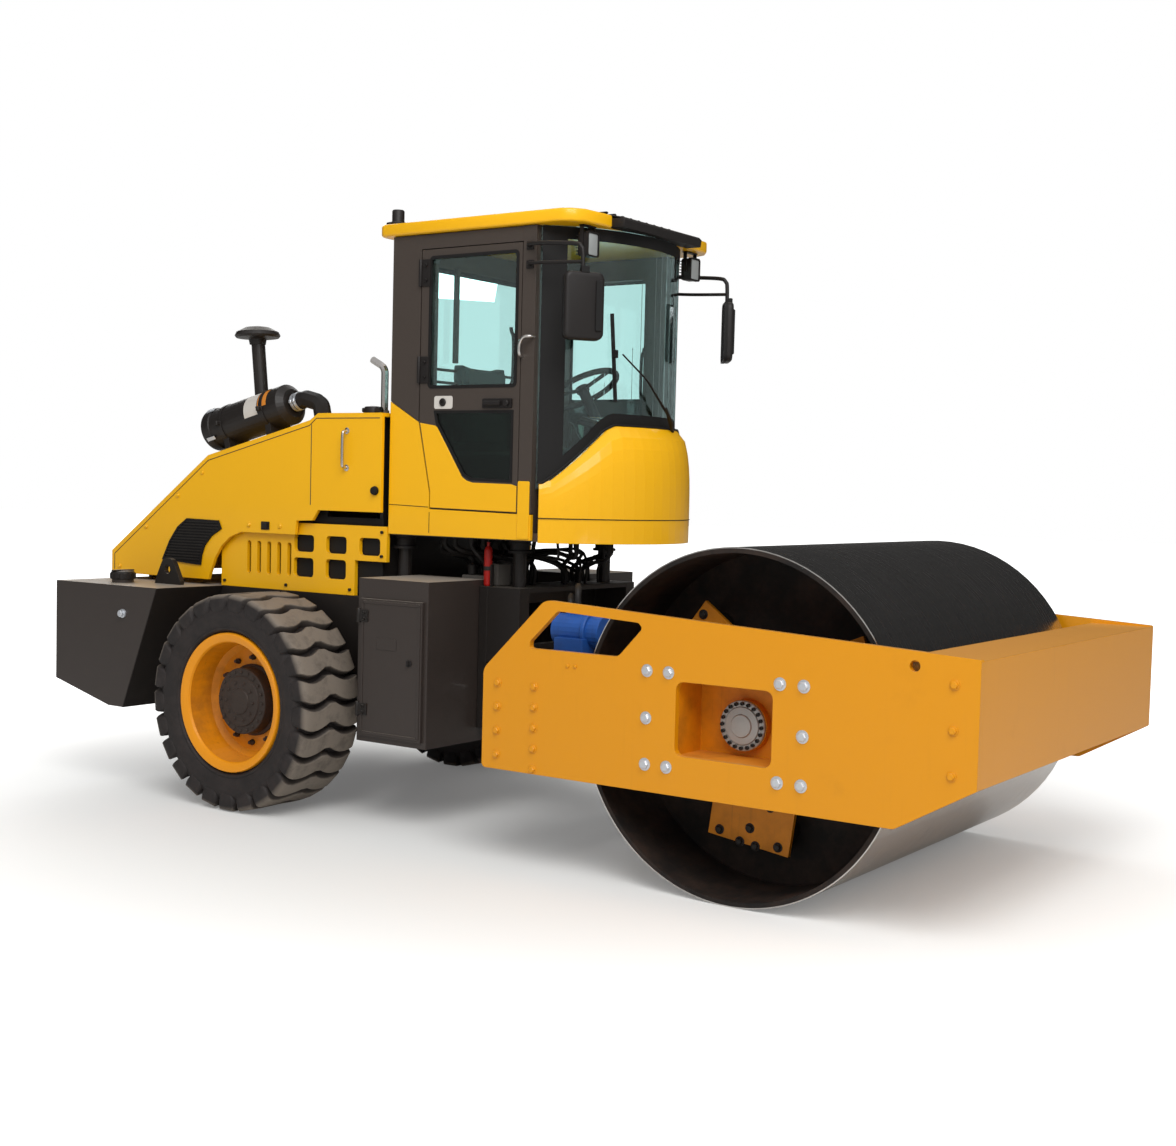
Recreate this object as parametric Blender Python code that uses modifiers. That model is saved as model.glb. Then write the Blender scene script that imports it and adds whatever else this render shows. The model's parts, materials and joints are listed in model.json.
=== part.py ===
"""Articulated single drum road roller of the ten tonne class.

Run with: blender --background --python part.py

Lengths are in metres. X points forwards, Y to the machine's left and Z up. Distances along X are
measured from the steering pivot, and the parent empty then sets the machine down so that the
middle of its length is the origin and the ground is Z = 0. A pair of numbers is a point of an
outline in the plane that its function names. SIDES holds the right side, at -Y, and the left.
"""

import math

import bmesh
import bpy
from mathutils import Matrix, Vector

# Seats and clearances
GAP = 0.0003            # between faces that touch
RUN = 0.005             # between pieces that move past each other
SIDES = (("right", -1), ("left", 1))

# Overall layout
FRONT_REACH = 2.589     # pivot to the front face of the drum frame
REAR_REACH = 2.950      # pivot to the rear face of the hood
HOOD_OVERHANG = 0.070   # hood behind the rear box
DRUM_AXLE_X = 1.500
REAR_AXLE_X = -1.471
PIVOT_X = (REAR_REACH - FRONT_REACH) / 2

# Drum
DRUM_WIDTH = 2.130
DRUM_RADIUS = 0.750
DRUM_SHELL = 0.024
DRUM_RECESS = 0.405     # depth of the open end, from the rim to the web
WEB = DRUM_WIDTH / 2 - DRUM_RECESS
BUFFER_PLATE = 0.020
BUFFER_OUT = DRUM_WIDTH / 2 - 0.295     # centre of the machine to the buffer plate's outer face
ARM_REACH = 0.590       # drum axis to a corner of a buffer arm
ARM_HALF_ANGLE = math.radians(19.8)
ARM_ANGLES = [math.radians(a) for a in (22.4, 142.4, 262.4)]

# Drum frame
PLATE = 0.030
PLATE_GAP = 0.050       # drum end to side plate
PLATE_IN = DRUM_WIDTH / 2 + PLATE_GAP
PLATE_OUT = PLATE_IN + PLATE
PLATE_REAR = 0.246
PLATE_BOTTOM = 0.448
PLATE_TOP = 1.229
PLATE_FRONT_TOP = 1.128
BEAM_BOTTOM = 0.636
BEAM_DEPTH = 0.289
BEAM_WALL = 0.025
REAR_BEAM = ((0.280, 0.470), (0.580, 0.890))
WINDOW = ((-0.230, -0.133), (0.226, 0.180))     # bearing window, from the drum axis
BRACKET_WALL = 0.020
BRACKET_BACK = DRUM_WIDTH / 2 - 0.155   # centre of the machine to the bracket's back plate

# Hitch and steering cylinders
HITCH_Z = 0.680
HITCH_HALF = 0.120      # half height of the hitch block
HITCH_PIN = 0.040
HITCH_BEARING = 0.095
EAR = (0.600, 0.630)    # height of the ears that the rods push
CYLINDER_Z = 0.660
CYLINDER_FOOT = (-0.660, 0.280)
CYLINDER_EYE = (0.080, 0.300)
CYLINDER_PIN = 0.020
BARREL = 0.045
BARREL_LENGTH = 0.450
ROD = 0.025
ROD_INSIDE = 0.250      # foot pin to the rod's inner end

# Rear frame
RAIL_OUT = 0.630
RAIL = 0.030
RAIL_BOTTOM = 0.720
RAIL_TOP = 1.130
CROSS_FRONT = -0.760
CROSS_REAR = -0.950
NOSE_HALF = 0.440       # half width of the narrow front part
RISER = (-0.285, -0.235)
RISER_HALF = 0.520
RISER_TOP = 1.220
FOOT_PLATE_TOP = 0.600
ENGINE_BED = 0.800
BULKHEAD_X = (-0.900, -0.880)

# Rear box
BOX_REAR = REAR_REACH - HOOD_OVERHANG
BOX_HALF = 1.100
BOX_TOP = 1.130
BOX_BOTTOM = 0.462
BOX_CHAMFER_TOP = 0.576
BOX_FRONT_TOP = -2.037
BOX_FRONT_BOTTOM = -2.305

# Rear wheels
TYRE_RADIUS = 0.567
HALF_TRACK = 0.908
TREAD_HALF = 0.210
RIM_HALF = 0.165
RIM_RADIUS = 0.330
RIM_FLANGE = 0.360

# Hood
HOOD_HALF = 0.660
HOOD_WALL = 0.020
HOOD_BOTTOM = 1.160
HOOD_TOP = 2.087
HOOD_FRONT = -0.835
HOOD_SHOULDER = (-2.134, 1.857)
HOOD_BROW = (-1.348, 2.050)
HINGE_Y = 0.430
CLEANER_Y = -0.420
CLEANER_RADIUS = 0.115
CLEANER_LENGTH = 0.640
CLEANER_HEIGHT = 0.190  # axis above the hood's slope
STACK_RADIUS = 0.038

# Tool boxes
TOOLBOX_X = (-0.747, -0.292)
TOOLBOX_Z = (0.432, 1.250)
TOOLBOX_OUT = 0.905
SHEET = 0.015

# Cab
CAB_REAR = -0.815
CAB_POST_X = 0.100      # front face of the door posts
CAB_IN = 0.600          # half width over the frame
CAB_SKIN = 0.020
FLOOR = (1.460, 1.500)
ROOF = (2.985, 3.045)
ROOF_HALF = 0.645
GLASS = 0.006
GLASS_APEX = 0.390
COWL_WALL = 0.020
SILL = 1.590
DOOR_REAR = -0.618
DOOR_FRONT = 0.015
DOOR_TOP = 2.905
DOOR_HINGE = (-0.6215, CAB_IN + CAB_SKIN + 0.0075)
WAIST = (2.090, 2.215)


# ---------------------------------------------------------------- scene and bodies

for old in list(bpy.data.objects):
    bpy.data.objects.remove(old)

parts = bpy.data.collections.new("road_roller")
tools = bpy.data.collections.new("cutters")
bpy.context.scene.collection.children.link(parts)
bpy.context.scene.collection.children.link(tools)


def empty(name, place, parent=None):
    """Add the empty that a body's pieces hang on. Its place is on the body's joint axis."""
    axis = bpy.data.objects.new(name, None)
    axis.empty_display_size = 0.2
    axis.location = place
    axis.parent = parent
    parts.objects.link(axis)
    return axis


def on_pivot(place):
    """Give the inverse that keeps a piece's coordinates measured from the steering pivot."""
    return Matrix.Translation(-Vector(place))


machine = empty("machine", (PIVOT_X, 0, 0))
AXES = {"machine": (0, 0, 0)}
BODIES = {"machine": machine}


def body(name, place, parent="machine"):
    """Add a moving body whose joint axis runs through a place, measured from the pivot."""
    AXES[name] = place
    BODIES[name] = empty(name + "_axis", Vector(place) - Vector(AXES[parent]), BODIES[parent])


body("hitch", (0, 0, HITCH_Z))
body("drum_frame", (0, 0, HITCH_Z), "hitch")
body("drum", (DRUM_AXLE_X, 0, DRUM_RADIUS), "drum_frame")
body("hood", (-BOX_REAR - 0.005, 0, HOOD_BOTTOM))
for side_name, side in SIDES:
    body("wheel_" + side_name, (REAR_AXLE_X, side * HALF_TRACK, TYRE_RADIUS))
    body("cab_door_" + side_name, (DOOR_HINGE[0], side * DOOR_HINGE[1], DOOR_TOP))
    body("toolbox_door_" + side_name,
         (TOOLBOX_X[0] + 0.019, side * (TOOLBOX_OUT + SHEET + RUN), TOOLBOX_Z[0]))
    body("cylinder_" + side_name, (CYLINDER_FOOT[0], side * CYLINDER_FOOT[1], CYLINDER_Z))
    body("rod_" + side_name, (CYLINDER_FOOT[0], side * CYLINDER_FOOT[1], CYLINDER_Z),
         "cylinder_" + side_name)


def material(name, color, roughness, metallic=0.0, alpha=1.0):
    """Make a Principled material from a linear colour."""
    made = bpy.data.materials.new(name)
    made.use_nodes = True
    shader = made.node_tree.nodes["Principled BSDF"]
    shader.inputs["Base Color"].default_value = (*color, 1)
    shader.inputs["Roughness"].default_value = roughness
    shader.inputs["Metallic"].default_value = metallic
    shader.inputs["Alpha"].default_value = alpha
    made.diffuse_color = (*color, alpha)
    return made


YELLOW = material("yellow_enamel", (0.88, 0.47, 0.01), 0.35)
ORANGE = material("orange_enamel", (0.85, 0.25, 0.01), 0.4)
BLACK = material("black_enamel", (0.02, 0.018, 0.017), 0.5)
CHARCOAL = material("charcoal_enamel", (0.06, 0.047, 0.043), 0.45)
RUBBER = material("tyre_rubber", (0.028, 0.022, 0.02), 0.85)
STEEL = material("rolled_steel", (0.5, 0.49, 0.48), 0.3, 1.0)
CHROME = material("bright_steel", (0.7, 0.7, 0.7), 0.15, 1.0)
BLUE = material("blue_enamel", (0.02, 0.08, 0.35), 0.4)
WINDOW_GLASS = material("window_glass", (0.6, 0.75, 0.75), 0.05, 0.0, 0.3)
VINYL = material("seat_vinyl", (0.05, 0.06, 0.065), 0.7)


# ---------------------------------------------------------------- modelling helpers

def link(thing, name, owner="machine", collection=None):
    """Name an object and hang it on its body, keeping its coordinates from the pivot."""
    thing.name = name
    (collection or parts).objects.link(thing)
    thing.parent = BODIES[owner]
    thing.matrix_parent_inverse = on_pivot(AXES[owner])
    return thing


def hide(thing):
    """Keep an object as a cutter or a guide, out of the model."""
    for home in list(thing.users_collection):
        home.objects.unlink(thing)
    tools.objects.link(thing)
    thing.hide_render = True
    thing.display_type = "WIRE"


def dress(thing, finish, smooth=False):
    """Give an object its material, and round pieces their smooth shading."""
    thing.data.materials.clear()
    thing.data.materials.append(finish)
    if smooth:
        thing.data.shade_smooth()
        thing.data.set_sharp_from_angle(angle=math.radians(35))
    return thing


def box(name, low, high, owner="machine"):
    """Add a block between two corners."""
    low, high = Vector(low), Vector(high)
    shape = bmesh.new()
    bmesh.ops.create_cube(shape, size=1)
    bmesh.ops.scale(shape, vec=high - low, verts=shape.verts)
    mesh = bpy.data.meshes.new(name)
    shape.to_mesh(mesh)
    shape.free()
    thing = bpy.data.objects.new(name, mesh)
    thing.location = (low + high) / 2
    return link(thing, name, owner)


def side_box(name, side, x, y, z, owner="machine"):
    """Add a block between ranges of X, of distance from the middle plane, and of Z."""
    low, high = sorted((side * y[0], side * y[1]))
    return box(name, (x[0], low, z[0]), (x[1], high, z[1]), owner)


def rounded(points, radius, steps=4):
    """Round a closed outline's corners. The radius is one number, or one for each corner."""
    radii = radius if isinstance(radius, (list, tuple)) else [radius] * len(points)
    corners = [Vector(p) for p in points]
    out = []
    for i, corner in enumerate(corners):
        before = corners[i - 1] - corner
        after = corners[(i + 1) % len(corners)] - corner
        if radii[i] == 0:
            out.append(corner)
            continue
        half = before.angle(after) / 2
        reach = min(radii[i] / math.tan(half), 0.45 * before.length, 0.45 * after.length)
        centre = corner + (before.normalized() + after.normalized()).normalized() * (
            reach / math.cos(half))
        start = corner + before.normalized() * reach - centre
        sweep = start.angle_signed(corner + after.normalized() * reach - centre)
        for k in range(steps + 1):
            turn = Matrix.Rotation(-sweep * k / steps, 2)
            out.append(centre + turn @ start)
    return out


def circle(x, y, radius, steps=16):
    """Give a round outline."""
    turns = [2 * math.pi * k / steps for k in range(steps)]
    return [(x + radius * math.cos(a), y + radius * math.sin(a)) for a in turns]


def rectangle(low, high):
    """Give a rectangular outline between two corners."""
    return [(low[0], low[1]), (high[0], low[1]), (high[0], high[1]), (low[0], high[1])]


def inset(points, distance):
    """Move each side of a closed anticlockwise outline inwards by a distance."""
    corners = [Vector(p) for p in points]
    out = []
    for i, corner in enumerate(corners):
        first = (corner - corners[i - 1]).normalized()
        second = (corners[(i + 1) % len(corners)] - corner).normalized()
        inward = Vector((-first.y, first.x)) + Vector((-second.y, second.x))
        inward.normalize()
        lean = inward.dot(Vector((-first.y, first.x)))
        out.append(corner + inward * distance / lean)
    return out


def as_mesh(thing, name, owner):
    """Turn a curve object into a welded mesh object in the same place."""
    bpy.context.view_layer.update()
    graph = bpy.context.evaluated_depsgraph_get()
    mesh = bpy.data.meshes.new_from_object(thing.evaluated_get(graph))
    weld = bmesh.new()
    weld.from_mesh(mesh)
    bmesh.ops.remove_doubles(weld, verts=weld.verts, dist=1e-5)
    weld.to_mesh(mesh)
    weld.free()
    solid = bpy.data.objects.new(name, mesh)
    solid.location, solid.rotation_euler = thing.location, thing.rotation_euler
    bpy.data.objects.remove(thing)
    return link(solid, name, owner)


TURNS = {"XZ": (math.pi / 2, 0, 0), "YZ": (math.pi / 2, 0, math.pi / 2), "XY": (0, 0, 0)}


def flat(name, plane, outline, low, high, holes=(), owner="machine"):
    """Add a plate: an outline in XZ, YZ or XY between two distances along the third axis."""
    curve = bpy.data.curves.new(name, "CURVE")
    curve.dimensions = "2D"
    curve.fill_mode = "BOTH"
    curve.extrude = abs(high - low) / 2
    for loop in (outline, *holes):
        spline = curve.splines.new("POLY")
        spline.points.add(len(loop) - 1)
        for point, (a, b) in zip(spline.points, loop):
            point.co = (a, b, 0, 1)
        spline.use_cyclic_u = True
    thing = bpy.data.objects.new(name, curve)
    thing.rotation_euler = TURNS[plane]
    middle = (low + high) / 2
    thing.location = {"XZ": (0, middle, 0), "YZ": (middle, 0, 0), "XY": (0, 0, middle)}[plane]
    parts.objects.link(thing)
    return as_mesh(thing, name, owner)


def side_flat(name, side, outline, y, holes=(), owner="machine"):
    """Add a plate in XZ between two distances from the middle plane."""
    return flat(name, "XZ", outline, side * y[0], side * y[1], holes, owner)


def turned(name, profile, centre, turn=(0, 0, 0), steps=32, ring=False, owner="machine"):
    """Add a turned piece. Its profile of (radius, height) runs down its outer side."""
    mesh = bpy.data.meshes.new(name)
    count = len(profile)
    edges = [(i, i + 1) for i in range(count - 1)] + ([(count - 1, 0)] if ring else [])
    mesh.from_pydata([(r, 0, h) for r, h in profile], edges, [])
    thing = bpy.data.objects.new(name, mesh)
    thing.location, thing.rotation_euler = centre, turn
    link(thing, name, owner)
    screw = thing.modifiers.new("turn", "SCREW")
    screw.steps = screw.render_steps = steps
    screw.use_merge_vertices = True
    screw.merge_threshold = 0.0001
    screw.use_smooth_shade = True
    return thing


def across(side=1):
    """Give the rotation that lays a turned piece's axis along Y, its top outwards."""
    return (-side * math.pi / 2, 0, 0)


ALONG = (0, math.pi / 2, 0)     # lays a turned piece's axis along X


def rod(name, radius, low, high, centre, turn=(0, 0, 0), steps=24, owner="machine"):
    """Add a plain cylinder between two heights on its axis."""
    profile = [(0, high), (radius, high), (radius, low), (0, low)]
    return turned(name, profile, centre, turn, steps, False, owner)


def tube(name, points, radius, owner="machine"):
    """Add a bent bar along points."""
    curve = bpy.data.curves.new(name, "CURVE")
    curve.dimensions = "3D"
    curve.bevel_depth = radius
    curve.bevel_resolution = 2
    curve.use_fill_caps = True
    spline = curve.splines.new("POLY")
    spline.points.add(len(points) - 1)
    for point, place in zip(spline.points, points):
        point.co = (*place, 1)
    thing = bpy.data.objects.new(name, curve)
    parts.objects.link(thing)
    return as_mesh(thing, name, owner)


def bored(radius, steps=24):
    """Give a faceted hole's radius that clears a pin of a radius at any turn."""
    return (radius + GAP) / math.cos(math.pi / steps)


def bend(a, corner, b, radius, steps=5):
    """Give the points of an arc that rounds the corner between two straight runs."""
    a, corner, b = Vector(a), Vector(corner), Vector(b)
    first, second = (a - corner).normalized(), (b - corner).normalized()
    half = first.angle(second) / 2
    reach = radius / math.tan(half)
    centre = corner + (first + second).normalized() * radius / math.sin(half)
    start, end = corner + first * reach - centre, corner + second * reach - centre
    start.normalize()
    end.normalize()
    return [centre + radius * start.slerp(end, k / steps) for k in range(steps + 1)]


def combine(thing, others, operation):
    """Join or cut an object with others, which become guides."""
    for other in others:
        change = thing.modifiers.new(other.name, "BOOLEAN")
        change.operation = operation
        change.object = other
        change.solver = "EXACT"
        hide(other)
    return thing


def join(thing, *others):
    """Join other objects to an object."""
    return combine(thing, others, "UNION")


def cut(thing, *others):
    """Cut other objects out of an object."""
    return combine(thing, others, "DIFFERENCE")


def loft(name, outer, inner, across_count, up_count, owner="machine"):
    """Add a curved wall between two surfaces, each a function of u and v from 0 to 1."""
    shape = bmesh.new()
    grids = []
    for surface in (outer, inner):
        grids.append([[shape.verts.new(surface(i / across_count, j / up_count))
                       for j in range(up_count + 1)] for i in range(across_count + 1)])
    out, back = grids
    for i in range(across_count):
        for j in range(up_count):
            shape.faces.new((out[i][j], out[i + 1][j], out[i + 1][j + 1], out[i][j + 1]))
            shape.faces.new((back[i][j], back[i][j + 1], back[i + 1][j + 1], back[i + 1][j]))
        for j in (0, up_count):
            shape.faces.new((out[i][j], back[i][j], back[i + 1][j], out[i + 1][j]))
    for j in range(up_count):
        for i in (0, across_count):
            shape.faces.new((out[i][j], out[i][j + 1], back[i][j + 1], back[i][j]))
    bmesh.ops.recalc_face_normals(shape, faces=shape.faces)
    mesh = bpy.data.meshes.new(name)
    shape.to_mesh(mesh)
    shape.free()
    return link(bpy.data.objects.new(name, mesh), name, owner)


# ---------------------------------------------------------------- drum and its frame

def build_drum():
    """The steel drum with recessed ends, and a three-armed buffer plate in each end."""
    half = DRUM_WIDTH / 2
    bore = DRUM_RADIUS - DRUM_SHELL
    centre = (DRUM_AXLE_X, 0, DRUM_RADIUS)
    profile = [(0, WEB), (bore, WEB), (bore, half), (DRUM_RADIUS, half),
               (DRUM_RADIUS, -half), (bore, -half), (bore, -WEB), (0, -WEB)]
    dress(turned("drum", profile, centre, across(), 72, owner="drum"), STEEL, True)
    notch = ARM_REACH * math.sin(ARM_HALF_ANGLE) / math.sin(math.pi / 3)
    star = []
    for angle in ARM_ANGLES:
        for turn, reach in ((-ARM_HALF_ANGLE, ARM_REACH), (ARM_HALF_ANGLE, ARM_REACH),
                            (math.pi / 3, notch)):
            star.append((DRUM_AXLE_X + reach * math.cos(angle + turn),
                         DRUM_RADIUS + reach * math.sin(angle + turn)))
    for name, side in SIDES:
        plate = side_flat("buffer_plate_" + name, side, star,
                          (BUFFER_OUT - BUFFER_PLATE, BUFFER_OUT), owner="drum")
        buffers = []
        for k, angle in enumerate(ARM_ANGLES):
            for lean in (-0.26, 0.26):
                place = (DRUM_AXLE_X + 0.48 * math.cos(angle + lean), 0,
                         DRUM_RADIUS + 0.48 * math.sin(angle + lean))
                buffers.append(rod(f"buffer_{name}_{k}_{lean}", 0.055, WEB + GAP,
                                   BUFFER_OUT - BUFFER_PLATE / 2, place, across(side), 16,
                                   owner="drum"))
        dress(join(plate, *buffers), ORANGE)


def build_side_plates():
    """The drum frame's side plates, with the hose window, bearing window and lashing hole."""
    outline = rounded(
        [(PLATE_REAR, PLATE_BOTTOM), (DRUM_AXLE_X + 0.762, PLATE_BOTTOM),
         (FRONT_REACH, BEAM_BOTTOM), (FRONT_REACH, PLATE_FRONT_TOP),
         (PLATE_REAR + 0.336, PLATE_TOP), (PLATE_REAR, 0.899)],
        [0.02, 0.04, 0.01, 0.01, 0.07, 0.06])
    hose_window = rounded(
        [(0.502, 1.009), (0.975, 1.009), (1.097, 1.140), (1.075, 1.162), (0.652, 1.184),
         (0.505, 1.040)], [0.03, 0.05, 0.04, 0.02, 0.03, 0.02], 3)
    low, high = WINDOW
    bearing_window = rounded(rectangle((DRUM_AXLE_X + low[0], DRUM_RADIUS + low[1]),
                                       (DRUM_AXLE_X + high[0], DRUM_RADIUS + high[1])), 0.035)
    lashing = circle(2.327, 1.084, 0.022)
    for name, side in SIDES:
        dress(side_flat("side_plate_" + name, side, outline, (PLATE_IN, PLATE_OUT),
                        [hose_window, bearing_window, lashing], owner="drum_frame"), YELLOW)


def build_frame_beams():
    """The front channel and the rear box beam between the side plates."""
    half = PLATE_IN - GAP
    rear, top = FRONT_REACH - BEAM_DEPTH, PLATE_FRONT_TOP - 0.006
    channel = [(rear, BEAM_BOTTOM), (FRONT_REACH, BEAM_BOTTOM), (FRONT_REACH, top),
               (rear, top), (rear, top - BEAM_WALL), (FRONT_REACH - BEAM_WALL, top - BEAM_WALL),
               (FRONT_REACH - BEAM_WALL, BEAM_BOTTOM + BEAM_WALL),
               (rear, BEAM_BOTTOM + BEAM_WALL)]
    dress(flat("front_beam", "XZ", channel, -half, half, owner="drum_frame"), YELLOW)
    outer = rectangle(*REAR_BEAM)
    dress(flat("rear_beam", "XZ", outer, -half, half, [inset(outer, BEAM_WALL)],
               owner="drum_frame"), BLACK)


def build_drum_brackets():
    """The bracket behind each bearing window: flange, recessed box, cap and gearbox stub."""
    low, high = WINDOW
    x = (DRUM_AXLE_X + low[0], DRUM_AXLE_X + high[0])
    z = (DRUM_RADIUS + low[1], DRUM_RADIUS + high[1])
    face = PLATE_IN - GAP
    wall = BRACKET_WALL
    stub = [(0, BRACKET_BACK + 0.06), (0.11, BRACKET_BACK + 0.06), (0.11, BRACKET_BACK + 0.01),
            (0.16, BRACKET_BACK + 0.01), (0.16, BUFFER_OUT + GAP), (0, BUFFER_OUT + GAP)]
    for name, side in SIDES:
        flange = side_box("drum_bracket_" + name, side, (DRUM_AXLE_X - 0.42, DRUM_AXLE_X + 0.41),
                          (face - wall, face), (DRUM_RADIUS - 0.23, DRUM_RADIUS + 0.26),
                          "drum_frame")
        shell = side_box("bracket_shell_" + name, side, (x[0] - wall, x[1] + wall),
                         (BRACKET_BACK, face - wall / 2), (z[0] - wall, z[1] + wall))
        hollow = side_box("bracket_hollow_" + name, side, x,
                          (BRACKET_BACK + wall, face + wall), z)
        hub = turned("bracket_hub_" + name, stub, (DRUM_AXLE_X, 0, DRUM_RADIUS), across(side))
        dress(join(cut(join(flange, shell), hollow), hub), ORANGE)


def build_vibration_motor():
    """The blue hydraulic motor on the rear beam, seen through the right hose window."""
    base = REAR_BEAM[1][1] + GAP
    block = box("vibration_motor", (0.46, -0.90, base), (0.62, -0.70, base + 0.15),
                "drum_frame")
    pump = rod("motor_body", 0.075, -0.14, 0.12, (0.56, -0.80, base + 0.18), ALONG)
    dress(join(block, pump), BLUE)


# ---------------------------------------------------------------- hitch and steering

def build_hitch():
    """The hitch block: upright pin, oscillation bearing and the ears for the cylinders."""
    low, high = HITCH_Z - HITCH_HALF + 0.02, HITCH_Z + HITCH_HALF + 0.02
    block = box("hitch_block", (-0.09, -0.12, low), (0.12, 0.12, high), "hitch")
    pin = rod("hitch_pin", HITCH_PIN, low - 0.08, high + 0.08, (0, 0, 0))
    bearing = rod("hitch_bearing", HITCH_BEARING, 0.10, REAR_BEAM[0][0] - GAP, (0, 0, HITCH_Z), ALONG)
    x, y = CYLINDER_EYE
    ears = box("hitch_ears", (x - 0.05, -y - 0.045, EAR[0]), (x + 0.05, y + 0.045, EAR[1]))
    dress(join(block, pin, bearing, ears), BLACK)


def build_steering_cylinders():
    """Each cylinder's barrel turns on its foot pin, and its rod slides in the barrel."""
    foot_x, foot_y = CYLINDER_FOOT
    eye_x, eye_y = CYLINDER_EYE
    for name, side in SIDES:
        run = Vector((eye_x - foot_x, side * (eye_y - foot_y)))
        turn = math.atan2(run.y, run.x)
        lay = (0, math.pi / 2, turn)
        foot = Vector((foot_x, side * foot_y, CYLINDER_Z))
        ahead = Vector((math.cos(turn), math.sin(turn), 0))
        bore = ROD + GAP
        barrel = turned("steering_barrel_" + name,
                        [(0, 0.06), (bore, 0.06), (bore, BARREL_LENGTH),
                         (BARREL, BARREL_LENGTH), (BARREL, 0.03), (0, 0.03)],
                        foot, lay, 24, owner="cylinder_" + name)
        half = CYLINDER_Z - FOOT_PLATE_TOP - GAP
        knuckle = rod("foot_eye_" + name, BARREL, -half, half, foot)
        hole = rod("foot_hole_" + name, bored(CYLINDER_PIN), -half - 0.01, half + 0.01, foot)
        dress(cut(join(barrel, knuckle), hole), YELLOW, True)
        slide = rod("steering_rod_" + name, ROD, ROD_INSIDE, run.length - 0.03, foot, lay,
                    owner="rod_" + name)
        end = foot + ahead * run.length
        drop = CYLINDER_Z - EAR[1] - RUN
        eye = rod("rod_eye_" + name, BARREL, -drop, drop, end)
        bush = rod("rod_hole_" + name, bored(CYLINDER_PIN), -drop - 0.01, drop + 0.01, end)
        dress(cut(join(slide, eye), bush), CHROME, True)


# ---------------------------------------------------------------- rear frame

def box_front(z):
    """Give where the rear box's slanted front face stands at a height."""
    slope = (BOX_FRONT_TOP - BOX_FRONT_BOTTOM) / (BOX_TOP - BOX_BOTTOM)
    return BOX_FRONT_BOTTOM + (z - BOX_BOTTOM) * slope


def build_rear_frame():
    """Rails, cross members, riser with the hitch lugs, bulkhead and cab posts, all welded."""
    cross = box("rear_frame", (CROSS_REAR, -RAIL_OUT, 0.80), (CROSS_FRONT, RAIL_OUT, RAIL_TOP))
    welded = []
    rail = [(CROSS_REAR + 0.02, RAIL_BOTTOM), (CROSS_REAR + 0.02, RAIL_TOP - 0.001),
            (box_front(RAIL_TOP) + 2 * GAP, RAIL_TOP - 0.001),
            (box_front(RAIL_BOTTOM) + 2 * GAP, RAIL_BOTTOM)]
    for name, side in SIDES:
        welded.append(side_flat("rail_" + name, side, rail, (RAIL_OUT - RAIL, RAIL_OUT - 0.001)))
        welded.append(side_box("nose_" + name, side, (CROSS_FRONT - 0.02, RISER[0] + 0.01),
                               (NOSE_HALF - RAIL, NOSE_HALF), (0.53, RAIL_TOP - 0.002)))
        welded.append(side_box("cheek_" + name, side, (RISER[1] - 0.01, -0.03),
                               (NOSE_HALF, RISER_HALF - 0.001), (0.84, RISER_TOP - 0.001)))
    for name, x in (("front", -1.25), ("rear", -1.97)):
        welded.append(box("engine_bed_" + name, (x - 0.05, -RAIL_OUT + 0.01, 0.74),
                          (x + 0.05, RAIL_OUT - 0.01, ENGINE_BED)))
    through = (RISER[0] - 0.01, RISER[1] + 0.01)
    windows = [side_box("rod_window_" + name, side, through, (0.16, 0.40), (0.58, 0.78))
               for name, side in SIDES]
    windows.append(side_box("hose_window", 1, through, (-0.30, 0.30), (0.90, 1.12)))
    riser = box("riser", (RISER[0], -RISER_HALF, 0.50), (RISER[1], RISER_HALF, RISER_TOP))
    welded.append(cut(riser, *windows))
    welded.append(box("riser_cap", (RISER[0] + 0.001, -RISER_HALF + 0.002, RISER_TOP - 0.025),
                      (-0.031, RISER_HALF - 0.002, RISER_TOP - 0.002)))
    welded.append(box("foot_plate", (CYLINDER_FOOT[0] - 0.06, -NOSE_HALF + 0.01,
                                     FOOT_PLATE_TOP - 0.04),
                      (CYLINDER_FOOT[0] + 0.06, NOSE_HALF - 0.01, FOOT_PLATE_TOP)))
    for name, side in SIDES:
        welded.append(rod("foot_pin_" + name, CYLINDER_PIN, FOOT_PLATE_TOP - 0.02,
                          CYLINDER_Z + 0.08,
                          (CYLINDER_FOOT[0], side * CYLINDER_FOOT[1], 0), steps=24))
        for place, x, y, base in (("front", -0.14, 0.38, RISER_TOP - 0.01),
                                  ("rear", -0.80, 0.50, RAIL_TOP - 0.01)):
            welded.append(rod(f"cab_post_{place}_{name}", 0.035, base, FLOOR[0] - GAP,
                              (x, side * y, 0), steps=16))
    welded.append(box("bulkhead", (BULKHEAD_X[0], -0.59, RAIL_TOP - 0.02),
                      (BULKHEAD_X[1], 0.59, HOOD_TOP - HOOD_WALL - GAP)))
    block_low = HITCH_Z - HITCH_HALF + 0.02
    block_high = HITCH_Z + HITCH_HALF + 0.02
    lug = rounded(rectangle((RISER[1] - 0.02, -0.11), (0.09, 0.11)), [0, 0.08, 0.08, 0])
    hole = circle(0, 0, bored(HITCH_PIN), 24)
    for name, low in (("lower", block_low - RUN - 0.04), ("upper", block_high + RUN)):
        welded.append(flat("lug_" + name, "XY", lug, low, low + 0.04, [hole]))
    dress(join(cross, *welded), BLACK)


def build_engine():
    """The engine under the hood, as one block on its bed."""
    dress(box("engine_block", (-2.00, -0.34, ENGINE_BED + GAP), (-1.15, 0.34, 1.62)), CHARCOAL)


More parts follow.
